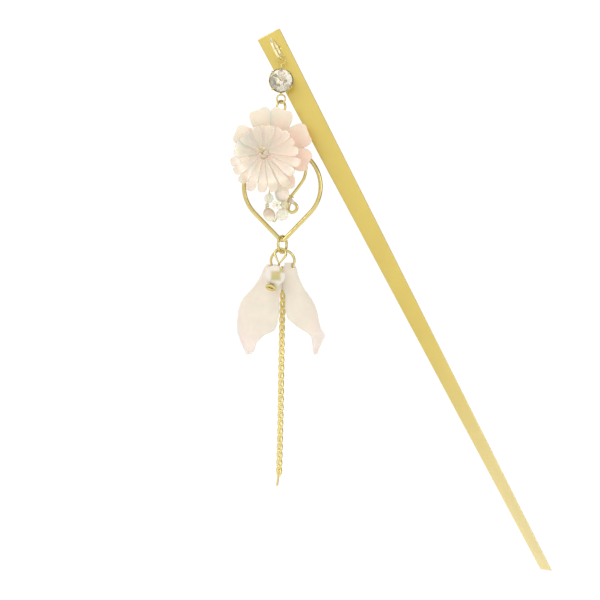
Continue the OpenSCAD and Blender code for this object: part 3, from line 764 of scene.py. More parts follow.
class HAIRSTICK_OT_stone(bpy.types.Operator):
    """Build the faceted stone, its claw cup and the eyes above and below it"""

    bl_idname = "hair_stick.stone"
    bl_label = "Stone"

    # The stone's lowest and highest point, in millimetres
    bottom, top = -1.0, 2.2
    # Its rings of facets: how many, their first turn in facets, their tilt in degrees, their share of
    # the radius and their height in millimetres
    cuts = [
        (8, 0.0, 33.5, 1, 1.3), (16, 0.5, 40, 1, 1.3), (8, 0.5, 24, 0.576, 2.2), (8, 0.0, 144, 1, 1.1),
        (16, 0.5, 139, 1, 1.1),
    ]
    # Faces whose normal points at most this much at the viewer are silvered
    silvered = 0.2
    # Outside of the cup in millimetres, drawn for a cup of this radius, and the floor of its hollow
    cup_radius = 3.5
    cup_outline = [
        (0, -1.6), (2.1, -1.6), (2.45, -1.45), (3.3, 0.35), (3.42, 0.6), (3.42, 0.95), (3.3, 1.08),
    ]
    cup_floor = [(0.45, -1.15), (0, -1.15)]
    # The hollow's brim: shares of its radius and heights in millimetres, and the stone's play in it
    cup_brim, play = [(1, 1.0), (0.97, 0.9)], 0.08
    # Radius and height of each claw's bends, in millimetres
    claw_bends = [(3.4, -0.4), (3.6, 0.6), (3.58, 1.2), (3.45, 1.6), (3.25, 1.8)]
    # The eyes' stems: their wire, how far behind the cup's middle they are and how deep they go in
    eye_stem, stem_back, stem_sink = 0.6 * MM, 0.1 * MM, 0.25 * MM

    def execute(self, context):
        s = settings().stone
        centre = Vector((HANG.x, HANG.y, middle("rhinestone").z))
        facing = moved(centre) @ FACING
        self.stone(s, facing)
        self.cup(s, facing)
        radius = (s.eye - s.eye_wire) / 2
        low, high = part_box("stone_setting")
        for name, z, way in (("upper_eye", high.z, 1), ("lower_eye", low.z, -1)):
            place = Vector((centre.x, centre.y, z - way * s.eye / 2))
            root = centre + Vector((0, self.stem_back, way * (s.cup / 2 - self.stem_sink)))
            eye = eye_on_stem(name, place, radius, s.eye_wire, FACING, root, self.eye_stem, way)
            golden(eye, "stone_setting")
        return {"FINISHED"}

    def stone(self, s, facing):
        radius = s.diameter / 2
        deselect()
        bpy.ops.mesh.primitive_cylinder_add(
            vertices=64, radius=radius, depth=(self.top - self.bottom) * MM,
            location=(0, 0, (self.top + self.bottom) / 2 * MM)
        )
        stone = named("stone")
        bpy.ops.object.transform_apply()
        bpy.ops.object.mode_set(mode="EDIT")
        for facets, first, tilt, share, height in self.cuts:
            tilt = math.radians(tilt)
            for i in range(facets):
                side = circle_point(1, 2 * math.pi * (i + first) / facets)
                bpy.ops.mesh.select_all(action="SELECT")
                bpy.ops.mesh.bisect(
                    plane_co=side * radius * share + Vector((0, 0, height * MM)),
                    plane_no=side * math.sin(tilt) + Vector((0, 0, math.cos(tilt))),
                    use_fill=True, clear_outer=True
                )
        settle(outward(stone), facing)
        dressed(stone, cut_glass(), "rhinestone", smooth=1)
        stone.data.materials.append(silver_foil())
        for face in stone.data.polygons:
            face.material_index = 1 if -face.normal.y < self.silvered else 0

    def cup(self, s, facing):
        scale = s.cup / 2 / MM / self.cup_radius
        inner = s.diameter / 2 / MM + self.play
        outline = [(radius * scale, height) for radius, height in self.cup_outline]
        outline += [(inner * share, height) for share, height in self.cup_brim] + self.cup_floor
        pieces = [settle(lathe("claw_cup", outline, steps=64, closed=False), facing)]
        for i in range(4):
            turn = math.radians(45 + 90 * i)
            route = [MM * circle_point(radius, turn, height) for radius, height in self.claw_bends]
            pieces.append(settle(wire(f"claw_{i}", smooth_route(route, 4), s.claw, sides=14), facing))
        golden(joined(pieces, "claw_cup"), "stone_setting")


class HAIRSTICK_OT_rings(bpy.types.Operator):
    """Build the three jump rings, each with its fine slit"""

    bl_idname = "hair_stick.rings"
    bl_label = "Jump rings"

    # Node, outer diameter and wire in millimetres, turns about X and Z and the slit's place in degrees
    rings = [
        ("jump_ring_top", 4.05, 0.68, 90, 45, 200), ("jump_ring_lower", 5.65, 0.78, 90, 60, 160),
        ("jump_ring_petals", 7.55, 0.76, PETAL_RING_TILT, 0, 118),
    ]
    slit = 0.06 * MM
    edge = 0.04 * MM

    def execute(self, context):
        for node, outer, thickness, x, z, slit_at in self.rings:
            route = ring_route((outer - thickness) / 2 * MM, slit_at, self.slit)
            ring = wire(node.replace("jump_", ""), route, thickness * MM, sides=20, round_ends=False)
            soften(ring, self.edge, segments=2, limit=60)
            settle(ring, moved(middle(node)) @ turned(x=x, z=z))
            golden(ring, node)
        return {"FINISHED"}


class HAIRSTICK_OT_frame(bpy.types.Operator):
    """Build the wire frame with its pointed foot, the inner scroll and the hidden eye"""

    bl_idname = "hair_stick.frame"
    bl_label = "Frame"

    scroll = [
        (5.9, 0, -27.5), (7.2, 0, -30.5), (6.7, 0, -34.5), (4.8, 0, -37.5), (2.7, 0, -40.2),
        (1.7, 0, -42.3), (2.1, 0, -44), (3.3, 0, -44.6), (4.4, 0, -43.9), (4.5, 0, -42.6),
        (3.4, 0, -41.6),
    ]
    eye_radius, eye_wire, stem_wire = 1.35 * MM, 0.7 * MM, 0.9 * MM

    def execute(self, context):
        s = settings().wires
        low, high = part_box("scroll_frame")
        half = math.asin(s.frame_radius / s.frame_foot)
        foot = s.frame_foot - s.foot_bend * (1 / math.sin(half) - 1) + s.frame_wire / 2
        centre = Vector(((low.x + high.x) / 2, HANG.y, low.z + foot))
        outline = drop_outline(s.frame_radius, s.frame_foot, s.foot_bend, steps=96)
        route = [centre + Vector((x, 0, z)) for x, z in outline]
        golden(wire("frame_wire", route, s.frame_wire, closed=True, sides=20), "scroll_frame")
        golden(wire("frame_scroll", drop_route(self.scroll, 8), s.scroll_wire, sides=18), "scroll_frame")
        place = Vector((centre.x, HANG.y, high.z - self.eye_radius - self.eye_wire / 2))
        root = centre + Vector((0, 0, s.frame_radius))
        eye = eye_on_stem(
            "frame_eye", place, self.eye_radius, self.eye_wire, turned(x=90, z=-45), root, self.stem_wire
        )
        golden(eye, "scroll_frame")
        return {"FINISHED"}


class HAIRSTICK_OT_pink_flower(bpy.types.Operator):
    """Build the frosted pink flower from single petals round a small middle"""

    bl_idname = "hair_stick.pink_flower"
    bl_label = "Pink flower"

    # Share of the petal's length, half width in millimetres, height in millimetres
    rows = [
        (0.06, 0.8, 0.1), (0.2, 1.6, 0.2), (0.36, 2.35, 0.45), (0.52, 2.95, 0.9), (0.67, 3.35, 1.45),
        (0.8, 3.5, 1.95), (0.9, 3.35, 2.2), (0.97, 2.8, 2.2), (1.0, 2.0, 2.1),
    ]
    arch, ripple = 0.45, 0.06
    # Petals round the flower: direction in degrees, shares of the full length and width, roll in degrees
    petals = [
        (22, 0.95, 1.05, 8), (71, 0.94, 1.0, -7), (113, 0.955, 0.96, 8), (158, 0.95, 0.86, -8),
        (204, 0.84, 1.0, 8), (249, 0.96, 1.0, -8), (290, 1.13, 0.98, 8), (334, 0.99, 1.02, -8),
    ]
    # Outline of the flower's middle: radius and height in millimetres
    heart = [(0, -0.5), (1.6, -0.5), (2.0, 0), (1.8, 0.5), (1.0, 0.75), (0, 0.8)]
    centre = (-2.65, -2.1, -25.5)
    pinkest_at = (2.6, -4, -27.9)

    def execute(self, context):
        s = settings().flowers
        tints = settings().colours
        sheet = petal_sheet("pink_petal", s.pink_size / 2, self.rows, 10, self.arch, self.ripple)
        place = moved(on_drop(*self.centre)) @ FACING
        places = [
            place @ turned(z=way - 90) @ turned(y=roll) @ Matrix.Diagonal((wide, long, 1, 1))
            for way, long, wide, roll in self.petals
        ]
        pink_flower = flower("pink", sheet, s.pink_thickness, places, self.heart, place)
        pinkest = on_drop(*self.pinkest_at)
        pink = frosted(
            "frosted_pink", pinkest, tints.pink, tints.blush, inner=0.0025, outer=0.0135, sheer=0.12
        )
        dressed(pink_flower, pink, "pink_flower")
        return {"FINISHED"}


class HAIRSTICK_OT_clear_flower(bpy.types.Operator):
    """Build the clear flower with its many narrow petals, and the stamens at its middle"""

    bl_idname = "hair_stick.clear_flower"
    bl_label = "Clear flower"

    # Share of the petal's length, half width in millimetres, height in millimetres
    rows = [
        (0.14, 0.24, 0.3), (0.25, 0.42, 0.3), (0.42, 0.74, 0.4), (0.58, 1.06, 0.6), (0.73, 1.38, 0.95),
        (0.86, 1.55, 1.4), (0.95, 1.3, 1.8), (1.0, 0.75, 2.0),
    ]
    arch = -0.2
    # Degrees that every other petal stands up
    lift = 3
    # The petals' lengths vary by this share, in waves that go on by this angle from petal to petal
    unevenness, wave = 0.035, 2.3
    # Outline of the flower's middle: radius and height in millimetres
    heart = [(0, -0.1), (1.1, -0.1), (1.5, 0.2), (1.3, 0.5), (0, 0.55)]
    centre = (-4.95, -4.9, -27.45)
    blush_at = (-3, -4, -26.5)
    # From where the petals meet to the middle of the flower's outline, in millimetres
    offset = (0.9, -2.2)
    # Degrees that the flower is tilted, and the direction in which it is
    tilt, tilt_way = 14, 142
    # The stamens and the first one's direction in degrees, and each one's bends: distance from the
    # middle and height in millimetres
    stamens, first_stamen = 5, 40
    filament = [(0.35, 0), (0.6, 2), (1.2, 3.8)]
    filament_wire, knob_radius, knob_flatness = 0.32 * MM, 0.47 * MM, 0.8

    def execute(self, context):
        s = settings().flowers
        tints = settings().colours
        place = moved(on_drop(*self.centre)) @ FACING
        place = place @ turned(z=self.tilt_way) @ turned(y=self.tilt) @ turned(z=-self.tilt_way)
        sheet = petal_sheet("clear_petal", s.clear_size / 2, self.rows, 6, self.arch)
        places = []
        for i in range(s.clear_petals):
            way = 360 * i / s.clear_petals
            long = self.reach(way + 90) * (1 + self.unevenness * math.sin(self.wave * i))
            turn = turned(z=way) @ turned(x=self.lift * (i % 2))
            places.append(place @ turn @ Matrix.Diagonal((1, long, 1, 1)))
        clear_flower = flower("clear", sheet, s.clear_thickness, places, self.heart, place)
        blush_at = on_drop(*self.blush_at)
        veil = veiled(
            "clear_veil", tints.clear, tints.clear_rim, least=0.46, most=0.68, gloss=0.12, blush_at=blush_at
        )
        dressed(clear_flower, veil, "clear_flower")
        dressed(self.knobs(place), knob_ivory(), "stamens")
        return {"FINISHED"}

    def reach(self, way):
        """Share of the full length that a petal has, so that all tips lie on one round outline."""
        size = settings().flowers.clear_size / 2
        offset = Vector((*self.offset, 0)) * MM
        across = offset.dot(circle_point(1, math.radians(way)))
        return (across + math.sqrt(across ** 2 - offset.length_squared + size ** 2)) / size

    def knobs(self, place):
        """The stamens, each a bent filament with a knob on it."""
        pieces = []
        for i in range(self.stamens):
            turn = math.radians(360 / self.stamens * i + self.first_stamen)
            route = [MM * circle_point(out, turn, height) for out, height in self.filament]
            pieces.append(wire(f"stamen_{i}", smooth_route(route, 4), self.filament_wire, sides=10))
            deselect()
            bpy.ops.mesh.primitive_ico_sphere_add(subdivisions=3, radius=self.knob_radius, location=route[-1])
            knob = named(f"knob_{i}")
            knob.scale = (1, 1, self.knob_flatness)
            bpy.ops.object.transform_apply()
            pieces.append(knob)
        return settle(joined(pieces, "stamen_knobs"), place)


class HAIRSTICK_OT_binding(bpy.types.Operator):
    """Build the thin wire that ties the flowers and the beads to the frame"""

    bl_idname = "hair_stick.binding"
    bl_label = "Binding wire"

    route = [
        (-1.6, -1.3, -28.5), (-2, -1.4, -32), (-2.4, -2.2, -35.5), (-2.8, -3.7, -37.3),
        (-3.3, -3.85, -38.4), (-3.5, -3.4, -40.5), (-3.85, -3.1, -41.8), (-4, -3, -42.55),
        (-4.35, -3, -43.3), (-3.4, -3, -45.25), (-2.45, -3, -46.9), (-1.95, -3, -47.3),
        (-1.5, -3, -46.85), (-1.15, -3, -46.15), (0.4, -3, -45.2), (2.05, -3, -44.2),
        (2.35, -2.4, -43.4), (2.6, -1.6, -42.4), (3, -1.3, -41.4), (3, -1.1, -40.6),
        (2.95, -0.75, -39.95), (3.45, -0.35, -40.25), (3.45, 0.4, -40.25), (2.9, 0.75, -39.9),
        (2.4, 0.4, -39.6),
    ]
    branch = [
        (-2, -1.45, -32.05), (-1.5, -1.9, -34), (-0.3, -2.7, -36), (0.3, -3, -37.2), (0.3, -3, -39.4),
        (0.3, -3, -41.9), (0.9, -2.9, -42.6), (1.8, -2.9, -42.7), (2.35, -3.6, -42.6),
        (2.1, -4.45, -42.5), (0.95, -4.6, -42.45), (-0.15, -4.6, -42.45), (-0.8, -4.35, -42.45),
        (-1.25, -4.35, -42.5), (-1.4, -4.8, -42.5), (-1.4, -5.6, -42.5),
    ]
    # The wraps round the frame's wire: the frame's middle and the air under them in millimetres, how
    # many there are and the points in each, and in degrees where on the frame they begin and how far
    # they go along it
    centre, air = (0.35, 0, -37.04), 0.06
    turns, points_a_turn, begin, sweep = 3.25, 24, 98, 6

    def execute(self, context):
        s = settings().wires
        offset = (s.frame_wire + s.binding_wire) / 2 / MM + self.air
        steps = int(self.points_a_turn * self.turns)
        x, _, z = self.centre
        wraps = []
        for i in range(steps + 1):
            a = math.radians(self.begin + self.sweep * i / steps)
            t = 2 * math.pi * self.turns * i / steps
            r = s.frame_radius / MM + offset * math.cos(t)
            wraps.append(on_drop(x + r * math.cos(a), -offset * math.sin(t), z + r * math.sin(a)))
        main = wire("binding_main", wraps + drop_route(self.route, 6), s.binding_wire, sides=10)
        branch = wire("binding_branch", drop_route(self.branch, 6), s.binding_wire, sides=10)
        golden(joined([main, branch], "binding"), "binding_wire")
        return {"FINISHED"}


class HAIRSTICK_OT_beads(bpy.types.Operator):
    """Build the beads and the pink bud under the flowers"""

    bl_idname = "hair_stick.beads"
    bl_label = "Beads"

    # Node, place, width and length in millimetres, direction of the hole, finish, slot and sides
    beads = [
        ("bead_top", (-3.5, -3.4, -40.5), 2.9, 2.9, (-0.18, 0.18, -1), "pale", "bead_glass", 9),
        ("bead_left", (-4, -3, -42.55), 1.3, 1.3, (-0.4, 0.05, -1), "straw", "bead_glass", 24),
        ("bead_mauve", (-3.4, -3, -45.25), 3.3, 4.2, (0.5, 0, -0.87), "mauve", "bead_acrylic", 48),
        ("bead_pale", (0.4, -3, -45.2), 3.9, 3.9, (0.85, 0, 0.53), "pale", "bead_glass", 10),
        ("bead_right", (0.95, -4.6, -42.45), 2.2, 2.2, (1, 0.07, 0), "olive", "bead_glass", 28),
        ("bead_small", (3, -1.3, -41.4), 1.5, 1.5, (0.2, 0.25, 1), "lilac", "bead_acrylic", 28),
    ]
    # Beads with fewer sides than this are faceted, and those wider than this, in millimetres, have
    # the wider hole
    round_from, wide_from = 16, 2.0
    wide_hole, fine_hole = 0.45, 0.35
    facet_edge = 0.06 * MM
    # The seed bead as shares of its height: radius of its middle line, half width and half thickness
    seed_shares = (0.325, 0.175, 0.19)
    # Outline of the bud from its foot up: radius and height in millimetres
    bud_outline = [
        (0.45, -2.3), (0.9, -2.2), (1.7, -1.5), (2.15, -0.3), (2.2, 0.8), (1.8, 1.7), (1, 2.25),
        (0.45, 2.35),
    ]
    bud_at = (0.3, -3, -39.35)
    # How many sides of the bud are pressed in, to what share, and the cosine of the angle from a
    # side's direction within which points move
    pressed_sides, pressed, pressed_within = 5, 0.88, 0.985

    def execute(self, context):
        tints = settings().colours
        pale = bead_glass("pale_glass", tints.bead)
        finishes = {
            "pale": pale,
            "straw": bead_glass("straw_glass", tints.straw),
            "olive": bead_glass("olive_glass", tints.olive),
            "lilac": bead_glass("lilac_acrylic", tints.lilac),
            "mauve": mauve_acrylic(tints.mauve, tints.bead),
        }
        for node, place, width, long, way, finish, slot, sides in self.beads:
            faceted = sides < self.round_from
            hole = self.wide_hole if width > self.wide_from else self.fine_hole
            bead = pierced_ball("glass_" + node, width, long, hole, 4 if faceted else 16, sides)
            if faceted:
                soften(bead, self.facet_edge, segments=2, limit=20)
            settle(bead, towards(way, on_drop(*place)))
            dressed(bead, finishes[finish], node, smooth=12 if faceted else 50)
        self.seed(pale)
        self.bud(tints)
        return {"FINISHED"}

    def seed(self, material):
        low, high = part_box("bead_seed")
        middle_line, half_wide, half_thick = (share * (high.z - low.z) / MM for share in self.seed_shares)
        turns = [2 * math.pi * i / 20 for i in range(20)]
        outline = [(middle_line + half_wide * math.cos(t), half_thick * math.sin(t)) for t in turns]
        seed = settle(lathe("glass_bead_seed", outline, steps=40), moved(middle("bead_seed")) @ FACING)
        dressed(seed, material, "bead_seed")

    def bud(self, tints):
        bud = lathe("bud", self.bud_outline, steps=30)
        for side in range(self.pressed_sides):
            way = circle_point(1, 2 * math.pi * side / self.pressed_sides).xy
            select(bud, lambda v: v.co.xy.normalized().dot(way) > self.pressed_within)
            bpy.ops.transform.resize(value=(self.pressed, self.pressed, 1), center_override=(0, 0, 0))
        bpy.ops.object.mode_set(mode="OBJECT")
        rounded(bud, 1)
        settle(bud, moved(on_drop(*self.bud_at)))
        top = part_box("pink_bud")[1]
        finish = frosted("frosted_bud", top, tints.bud_top, tints.bud, inner=0.002, outer=0.005, sheer=0.12)
        dressed(bud, finish, "pink_bud", smooth=60)


class HAIRSTICK_OT_petals(bpy.types.Operator):
    """Build the two big frosted petals, which curve round like a half-open bell"""

    bl_idname = "hair_stick.petals"
    bl_label = "Big petals"

    # Height, x of the outer edge and x of the inner edge, in millimetres
    left = [
        (-59.7, -3.8, -1.4), (-61, -4.7, -0.1), (-63.5, -5.8, 0.4), (-66.3, -7.6, 0.4),
        (-68.4, -9.5, -0.4), (-70.3, -11.1, -0.45), (-73.5, -12.1, -0.5), (-77.4, -12.4, -1.2),
        (-79, -12.4, -2.3), (-80.2, -12, -4.9), (-82.5, -11.1, -7.1), (-84.4, -10.2, -7.6),
        (-85.6, -9.3, -8.7),
    ]
    right = [
        (-59.2, 2.9, 1), (-60.8, 4.1, 0.6), (-63.5, 4.8, 0.28), (-66.3, 6.1, 0.28), (-68.4, 7.5, 1.1),
        (-70.3, 8.8, 1.15), (-73.1, 10, 1.2), (-75.5, 10.5, 2.1), (-78.4, 11.2, 5.7),
        (-80, 12.3, 8.3), (-81.6, 11.7, 8.9), (-84.6, 10.3, 9.2), (-85.7, 10.1, 9.7),
    ]
    # Places along Y in millimetres: the inner edge's, the outer one's at the top, and how far the
    # outer one comes forwards further down
    back, front_top, front_depth = 2.0, 1.7, 4.3
    # Share of the height where the tip begins, and share of the depth that each side loses towards it
    tip_from, tip_pinch = 0.75, 0.38
    # Holes for the ring: places round the ring in degrees, distance from its middle and radius
    holes = {"left": 210, "right": -32}
    hole_from_middle, hole_radius = 3.425 * MM, 0.75 * MM
    palest_at = (0, 0, -71)

    def execute(self, context):
        tints = settings().colours
        palest = on_drop(*self.palest_at)
        material = frosted(
            "frosted_ivory", palest, tints.ivory, tints.rose, inner=0.008, outer=0.017, sheer=0.2
        )
        ring = moved(middle("jump_ring_petals")) @ turned(x=PETAL_RING_TILT)
        for side, table in (("left", self.left), ("right", self.right)):
            petal = self.petal("petal_" + side, table)
            turn = math.radians(self.holes[side])
            way = ring.to_3x3() @ circle_point(1, turn + math.pi / 2)
            self.drill(petal, ring @ circle_point(self.hole_from_middle, turn), way)
            dressed(petal, material, "petal_drop_" + side, smooth=70)
        return {"FINISHED"}

    def petal(self, name, table):
        """A strip of rows spun through a quarter turn, then each row fitted to its level."""
        rows = smooth_route(table, 3)
        top, low = rows[0].x, rows[-1].x
        piece = drawn_out(name, (MM, 0, 0), [(0, 0, -MM)] * (len(rows) - 1))
        bpy.ops.mesh.spin(steps=14, angle=math.radians(90), center=(0, 0, 0), axis=(0, 0, -1))
        bpy.ops.object.mode_set(mode="OBJECT")
        levels = [round(-v.co.z / MM) for v in piece.data.vertices]
        y_way = 1 if min(v.co.y for v in piece.data.vertices) > -0.1 * MM else -1
        for i, (height, outer, inner) in enumerate(rows):
            t = (top - height) / (top - low)
            front = self.front_top - self.front_depth * (1 - (1 - t) ** 4)
            tip = max(0.0, (t - self.tip_from) / (1 - self.tip_from))
            pinch = self.tip_pinch * tip ** 2 * (self.back - front)
            select(piece, lambda v: levels[v.index] == i)
            size = (outer - inner, y_way * (front - self.back + 2 * pinch), 1)
            bpy.ops.transform.resize(value=size, center_override=(0, 0, -i * MM))
            bpy.ops.transform.translate(value=on_drop(inner, self.back - pinch, height + i))
        thickened(outward(piece), settings().flowers.petal_thickness, 1)
        return piece

    def drill(self, petal, place, way):
        deselect()
        bpy.ops.mesh.primitive_cylinder_add(vertices=32, radius=self.hole_radius, depth=5 * MM)
        cutter = settle(named("cutter"), towards(way, place))
        modify(petal, "BOOLEAN", operation="DIFFERENCE", object=cutter, solver="EXACT")
        only(cutter)
        bpy.ops.object.delete()


class HAIRSTICK_OT_pearl(bpy.types.Operator):
    """Build the pearl, and the pin with its drop-shaped eye and ring-shaped cap"""

    bl_idname = "hair_stick.pearl"
    bl_label = "Pearl"

    # Directions of the eye, the pin and the cap, and lengths in millimetres
    eye_way, pin_way, cap_way = (-0.14, -0.42, -1), (-0.35, -0.42, -1), (-0.35, -0.62, -1)
    eye_radius, eye_length = 1.6, 4.75
    pearl_from_neck, hole = 3.95, 0.5
    # How far beyond the pearl the cap sits and the pin ends
    cap_beyond, end_beyond = 0.5, 0.6
    # Painted olive reflections on the pearl: the place from the pearl's middle and the half width, in
    # millimetres
    painted_reflections = [((0.25, -2.8, 0.0), 1.3), ((2.2, -1.8, 1.7), 0.8)]
    # Outline of the cap: radius and height in millimetres
    cap_outline = [
        (0.28, 0), (0.9, 0), (1.35, 0.1), (1.6, 0.35), (1.62, 0.55), (1.35, 0.75), (0.95, 0.8),
        (0.7, 0.7), (0.6, 0.45), (0.55, 0.12), (0.28, 0.12),
    ]

    def execute(self, context):
        size = settings().flowers.pearl / MM
        eye_way, pin_way = Vector(self.eye_way).normalized(), Vector(self.pin_way).normalized()
        centre = middle("pearl")
        ball = pierced_ball("pearl_ball", size, size, self.hole, rings=40, sides=72)
        pearl = settle(ball, towards(pin_way, centre))
        # Places of the painted reflections on the pearl
        reflection_spots = [(centre + Vector(place) * MM, half * MM) for place, half in self.painted_reflections]
        tints = settings().colours
        dressed(pearl, nacre(tints.nacre, tints.reflection_tint, reflection_spots), "pearl", smooth=60)
        neck = centre - pin_way * self.pearl_from_neck * MM
        self.pin(neck, self.pearl_from_neck + size / 2, eye_way, pin_way)
        return {"FINISHED"}

    def pin(self, neck, to_far_side, eye_way, pin_way):
        """The pin, from its eye's neck to beyond the pearl's far side."""
        thickness = settings().wires.pin_wire
        across = (Vector((1, 0, 0)) - eye_way.x * eye_way).normalized()
        eye_middle = neck + eye_way * (self.eye_radius - self.eye_length) * MM
        outline = drop_outline(self.eye_radius, self.eye_length - self.eye_radius, bend=0, steps=48)
        route = [eye_middle + (x * across - z * eye_way) * MM for x, z in outline]
        eye = wire("pin_eye", route, thickness, closed=True)
        end = neck + pin_way * (to_far_side + self.end_beyond) * MM
        shank = wire("pin_shank", [neck, neck.lerp(end, 0.5), end], thickness)
        cap_at = neck + pin_way * (to_far_side + self.cap_beyond) * MM
        cap = settle(lathe("pin_cap", self.cap_outline), towards(self.cap_way, cap_at))
        golden(joined([eye, shank, cap], "pin"), "pearl_pin", smooth=50)


class HAIRSTICK_OT_chain(bpy.types.Operator):
    """Build the curb chain from single twisted links"""

    bl_idname = "hair_stick.chain"
    bl_label = "Chain"

    route = [
        (0.35, 1.93, -61.9), (0.5, 1.95, -67.3), (0.25, 1.95, -78.6), (0, 1.95, -93.1),
        (-0.25, 1.95, -107.6), (-0.6, 1.95, -120),
    ]
    tail = [(-0.66, 1.95, -119.3), (-0.9, 1.95, -121.6), (-1.15, 1.95, -123.6)]
    tail_wire = 0.6 * MM
    # Points round a link, and degrees that each of its ends is twisted
    link_points, twist = 28, 60
    # How far a link reaches past its pitch, as a multiple of its wire
    overlap = 0.75

    def execute(self, context):
        s = settings().wires
        line = drop_route(self.route, 40)
        places, along = [], 0.0
        for a, b in zip(line, line[1:]):
            step = (b - a).length
            while along <= step:
                places.append(towards(a - b, a.lerp(b, along / step)))
                along += s.chain_pitch
            along -= step
        links = copies(self.link(s), "link", places)
        tail = wire("link_tail", drop_route(self.tail, 5), self.tail_wire, sides=12)
        finish = bright_gold("chain_gold", settings().colours.links)
        dressed(joined(links + [tail], "chain_links"), finish, "chain", smooth=60)
        return {"FINISHED"}

    def link(self, s):
        half_long = (s.chain_pitch + self.overlap * s.chain_wire) / 2
        half_wide = (s.chain_width - s.chain_wire) / 2
        points = []
        for i in range(self.link_points):
            t = 2 * math.pi * i / self.link_points
            z = half_long * math.cos(t)
            points.append(circle_point(half_wide * math.sin(t), math.radians(self.twist) * z / half_long, z))
        return wire("link", points, s.chain_wire, closed=True, sides=10)


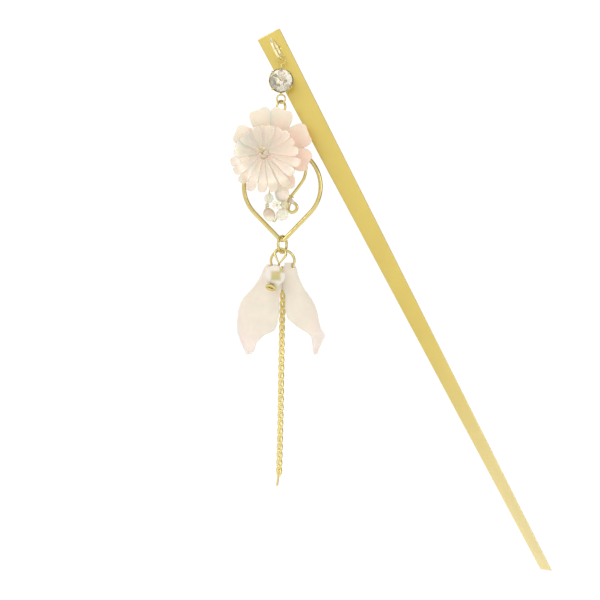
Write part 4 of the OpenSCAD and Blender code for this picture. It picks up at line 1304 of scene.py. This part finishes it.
class HAIRSTICK_OT_stage(bpy.types.Operator):
    """Set the pale floor, the soft studio light and the camera"""

    bl_idname = "hair_stick.stage"
    bl_label = "Stage"

    photo_middle = Vector((-36.9, 0, 11.7)) * MM
    photo_width = 174 * MM
    # The camera's lens and the width of its sensor, in millimetres
    lens, sensor = 500, 36
    floor_below, floor_radius = 250 * MM, 0.9
    # Lamps: name, place from the photo's middle, width and power
    lamps = [("key_light", (-0.5, -0.6, 0.7), 0.5, 2.1), ("fill_light", (0.7, -0.6, 0.1), 0.4, 1.1)]
    # The room's light at heights from straight down, 0, to straight up, 1, and its tint
    room = [(0.0, 0.8), (0.4, 0.92), (0.6, 1.0), (0.85, 1.06)]
    room_tint = Vector((1.0, 0.995, 0.985))
    white = 1.05
    # Darker places: direction, degrees from it where they end and where they are darkest, and share
    # of the light left there. The wide ones are in what a surface mirrors, the small ones in all the
    # other light.
    small_dark = [
        ((0.4, -0.8, 0.5), 11, 6, 0.25), ((-0.45, -0.8, -0.25), 9, 5, 0.3),
        ((0.75, -0.6, -0.2), 12, 6, 0.35), ((-0.2, -0.6, 0.9), 8, 4, 0.4),
    ]
    wide_dark = [
        ((0.92, -0.12, 0.3), 55, 25, 0.3), ((0, 1, 0.1), 70, 30, 0.8), ((-0.46, 0, 0.89), 40, 18, 0.35),
    ]

    def execute(self, context):
        floor_at = (self.photo_middle.x, 0, CAD_BOX[0].z - self.floor_below)
        deselect()
        bpy.ops.mesh.primitive_circle_add(
            vertices=96, radius=self.floor_radius, fill_type="NGON", location=floor_at
        )
        floor = named("floor")
        paper = Finish("white_paper", Roughness=0.9)
        paper.tint(paper.noise(40), [(0.3, (0.93, 0.93, 0.925)), (0.7, (0.95, 0.95, 0.945))])
        floor.data.materials.append(paper.material)
        self.world()
        for name, place, size, power in self.lamps:
            self.lamp(name, Vector(place), size, power)
        self.camera()
        return {"FINISHED"}

    def lamp(self, name, place, size, power):
        deselect()
        bpy.ops.object.light_add(type="AREA", location=self.photo_middle + place)
        lamp = named(name)
        lamp.data.shape = "SQUARE"
        lamp.data.size = size
        lamp.data.energy = power
        lamp.rotation_mode = "QUATERNION"
        lamp.rotation_quaternion = (-place).to_track_quat("-Z", "Y")

    def world(self):
        """A bright room with a few darker places, and plain white behind the object."""
        world = bpy.data.worlds.new("studio")
        bpy.context.scene.world = world
        world.use_nodes = True
        world.node_tree.nodes.clear()
        nodes = Nodes(world.node_tree)
        way = nodes.add("TexCoord", output="Generated")
        height = nodes.fitted(nodes.add("SeparateXYZ", way, output="Z"), -1, 1)
        light = nodes.ramp(height, [(place, level * self.room_tint) for place, level in self.room])
        soft, mirrored = (
            nodes.add("Background", self.dimmed(nodes, light, way, places))
            for places in (self.small_dark, self.wide_dark)
        )
        camera, glossy, through = (
            nodes.add("LightPath", output=f"Is {kind} Ray") for kind in ("Camera", "Glossy", "Transmission")
        )
        mirror = nodes.add("Math", glossy, through, operation="GREATER_THAN")
        room = nodes.add("MixShader", mirror, soft, mirrored)
        white = nodes.add("Background", (1, 1, 1, 1), self.white)
        surface = nodes.tree.nodes.new("ShaderNodeOutputWorld").inputs["Surface"]
        nodes.put(surface, nodes.add("MixShader", camera, room, white))

    def dimmed(self, nodes, light, way, places):
        """The light with darker places in it."""
        for direction, wide, narrow, left in places:
            direction = Vector(direction).normalized()
            facing = nodes.add("VectorMath", way, direction, operation="DOT_PRODUCT", output="Value")
            wide, narrow = math.cos(math.radians(wide)), math.cos(math.radians(narrow))
            level = nodes.fitted(facing, wide, narrow, 1, left, "SMOOTHSTEP")
            light = nodes.add("VectorMath", light, operation="SCALE", Scale=level)
        return light

    def camera(self):
        distance = self.photo_width * self.lens / self.sensor
        bpy.ops.object.camera_add(location=self.photo_middle - Vector((0, distance, 0)))
        camera = named("camera")
        camera.rotation_euler = (math.radians(90), 0, 0)
        camera.data.lens = self.lens
        camera.data.sensor_width = self.sensor
        camera.data.clip_start, camera.data.clip_end = 0.01, 10
        bpy.context.scene.camera = camera
        bpy.context.scene.view_settings.view_transform = "Standard"


OPERATORS = (
    HAIRSTICK_OT_stick, HAIRSTICK_OT_stone, HAIRSTICK_OT_rings, HAIRSTICK_OT_frame,
    HAIRSTICK_OT_pink_flower, HAIRSTICK_OT_clear_flower, HAIRSTICK_OT_binding, HAIRSTICK_OT_beads,
    HAIRSTICK_OT_petals, HAIRSTICK_OT_pearl, HAIRSTICK_OT_chain, HAIRSTICK_OT_stage,
)


class HairStickSettings(bpy.types.PropertyGroup):
    stick: PointerProperty(name="Stick", description="Sizes of the stick", type=StickSettings)
    stone: PointerProperty(name="Stone", description="Sizes of the stone and its cup", type=StoneSettings)
    wires: PointerProperty(name="Wires", description="Sizes of the wires and the chain", type=WireSettings)
    flowers: PointerProperty(
        name="Flowers", description="Sizes of flowers, petals and pearl", type=FlowerSettings
    )
    colours: PointerProperty(name="Colours", description="Colours of the finishes", type=ColourSettings)


class VIEW3D_PT_hair_stick(bpy.types.Panel):
    """Builds the hair stick piece by piece"""

    bl_label = "Hair Stick"
    bl_space_type = "VIEW_3D"
    bl_region_type = "UI"
    bl_category = "Hair Stick"

    def draw(self, context):
        for operator in OPERATORS:
            self.layout.operator(operator.bl_idname)


CLASSES = (
    StickSettings, StoneSettings, WireSettings, FlowerSettings, ColourSettings, HairStickSettings,
    *OPERATORS, VIEW3D_PT_hair_stick,
)


def register():
    for entry in CLASSES:
        bpy.utils.register_class(entry)
    bpy.types.Scene.hair_stick = PointerProperty(type=HairStickSettings)


def unregister():
    del bpy.types.Scene.hair_stick
    for entry in reversed(CLASSES):
        bpy.utils.unregister_class(entry)


def main():
    register()
    for operator in OPERATORS:
        group, name = operator.bl_idname.split(".")
        getattr(getattr(bpy.ops, group), name)()
    deselect()
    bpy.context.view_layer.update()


if __name__ == "__main__":
    main()
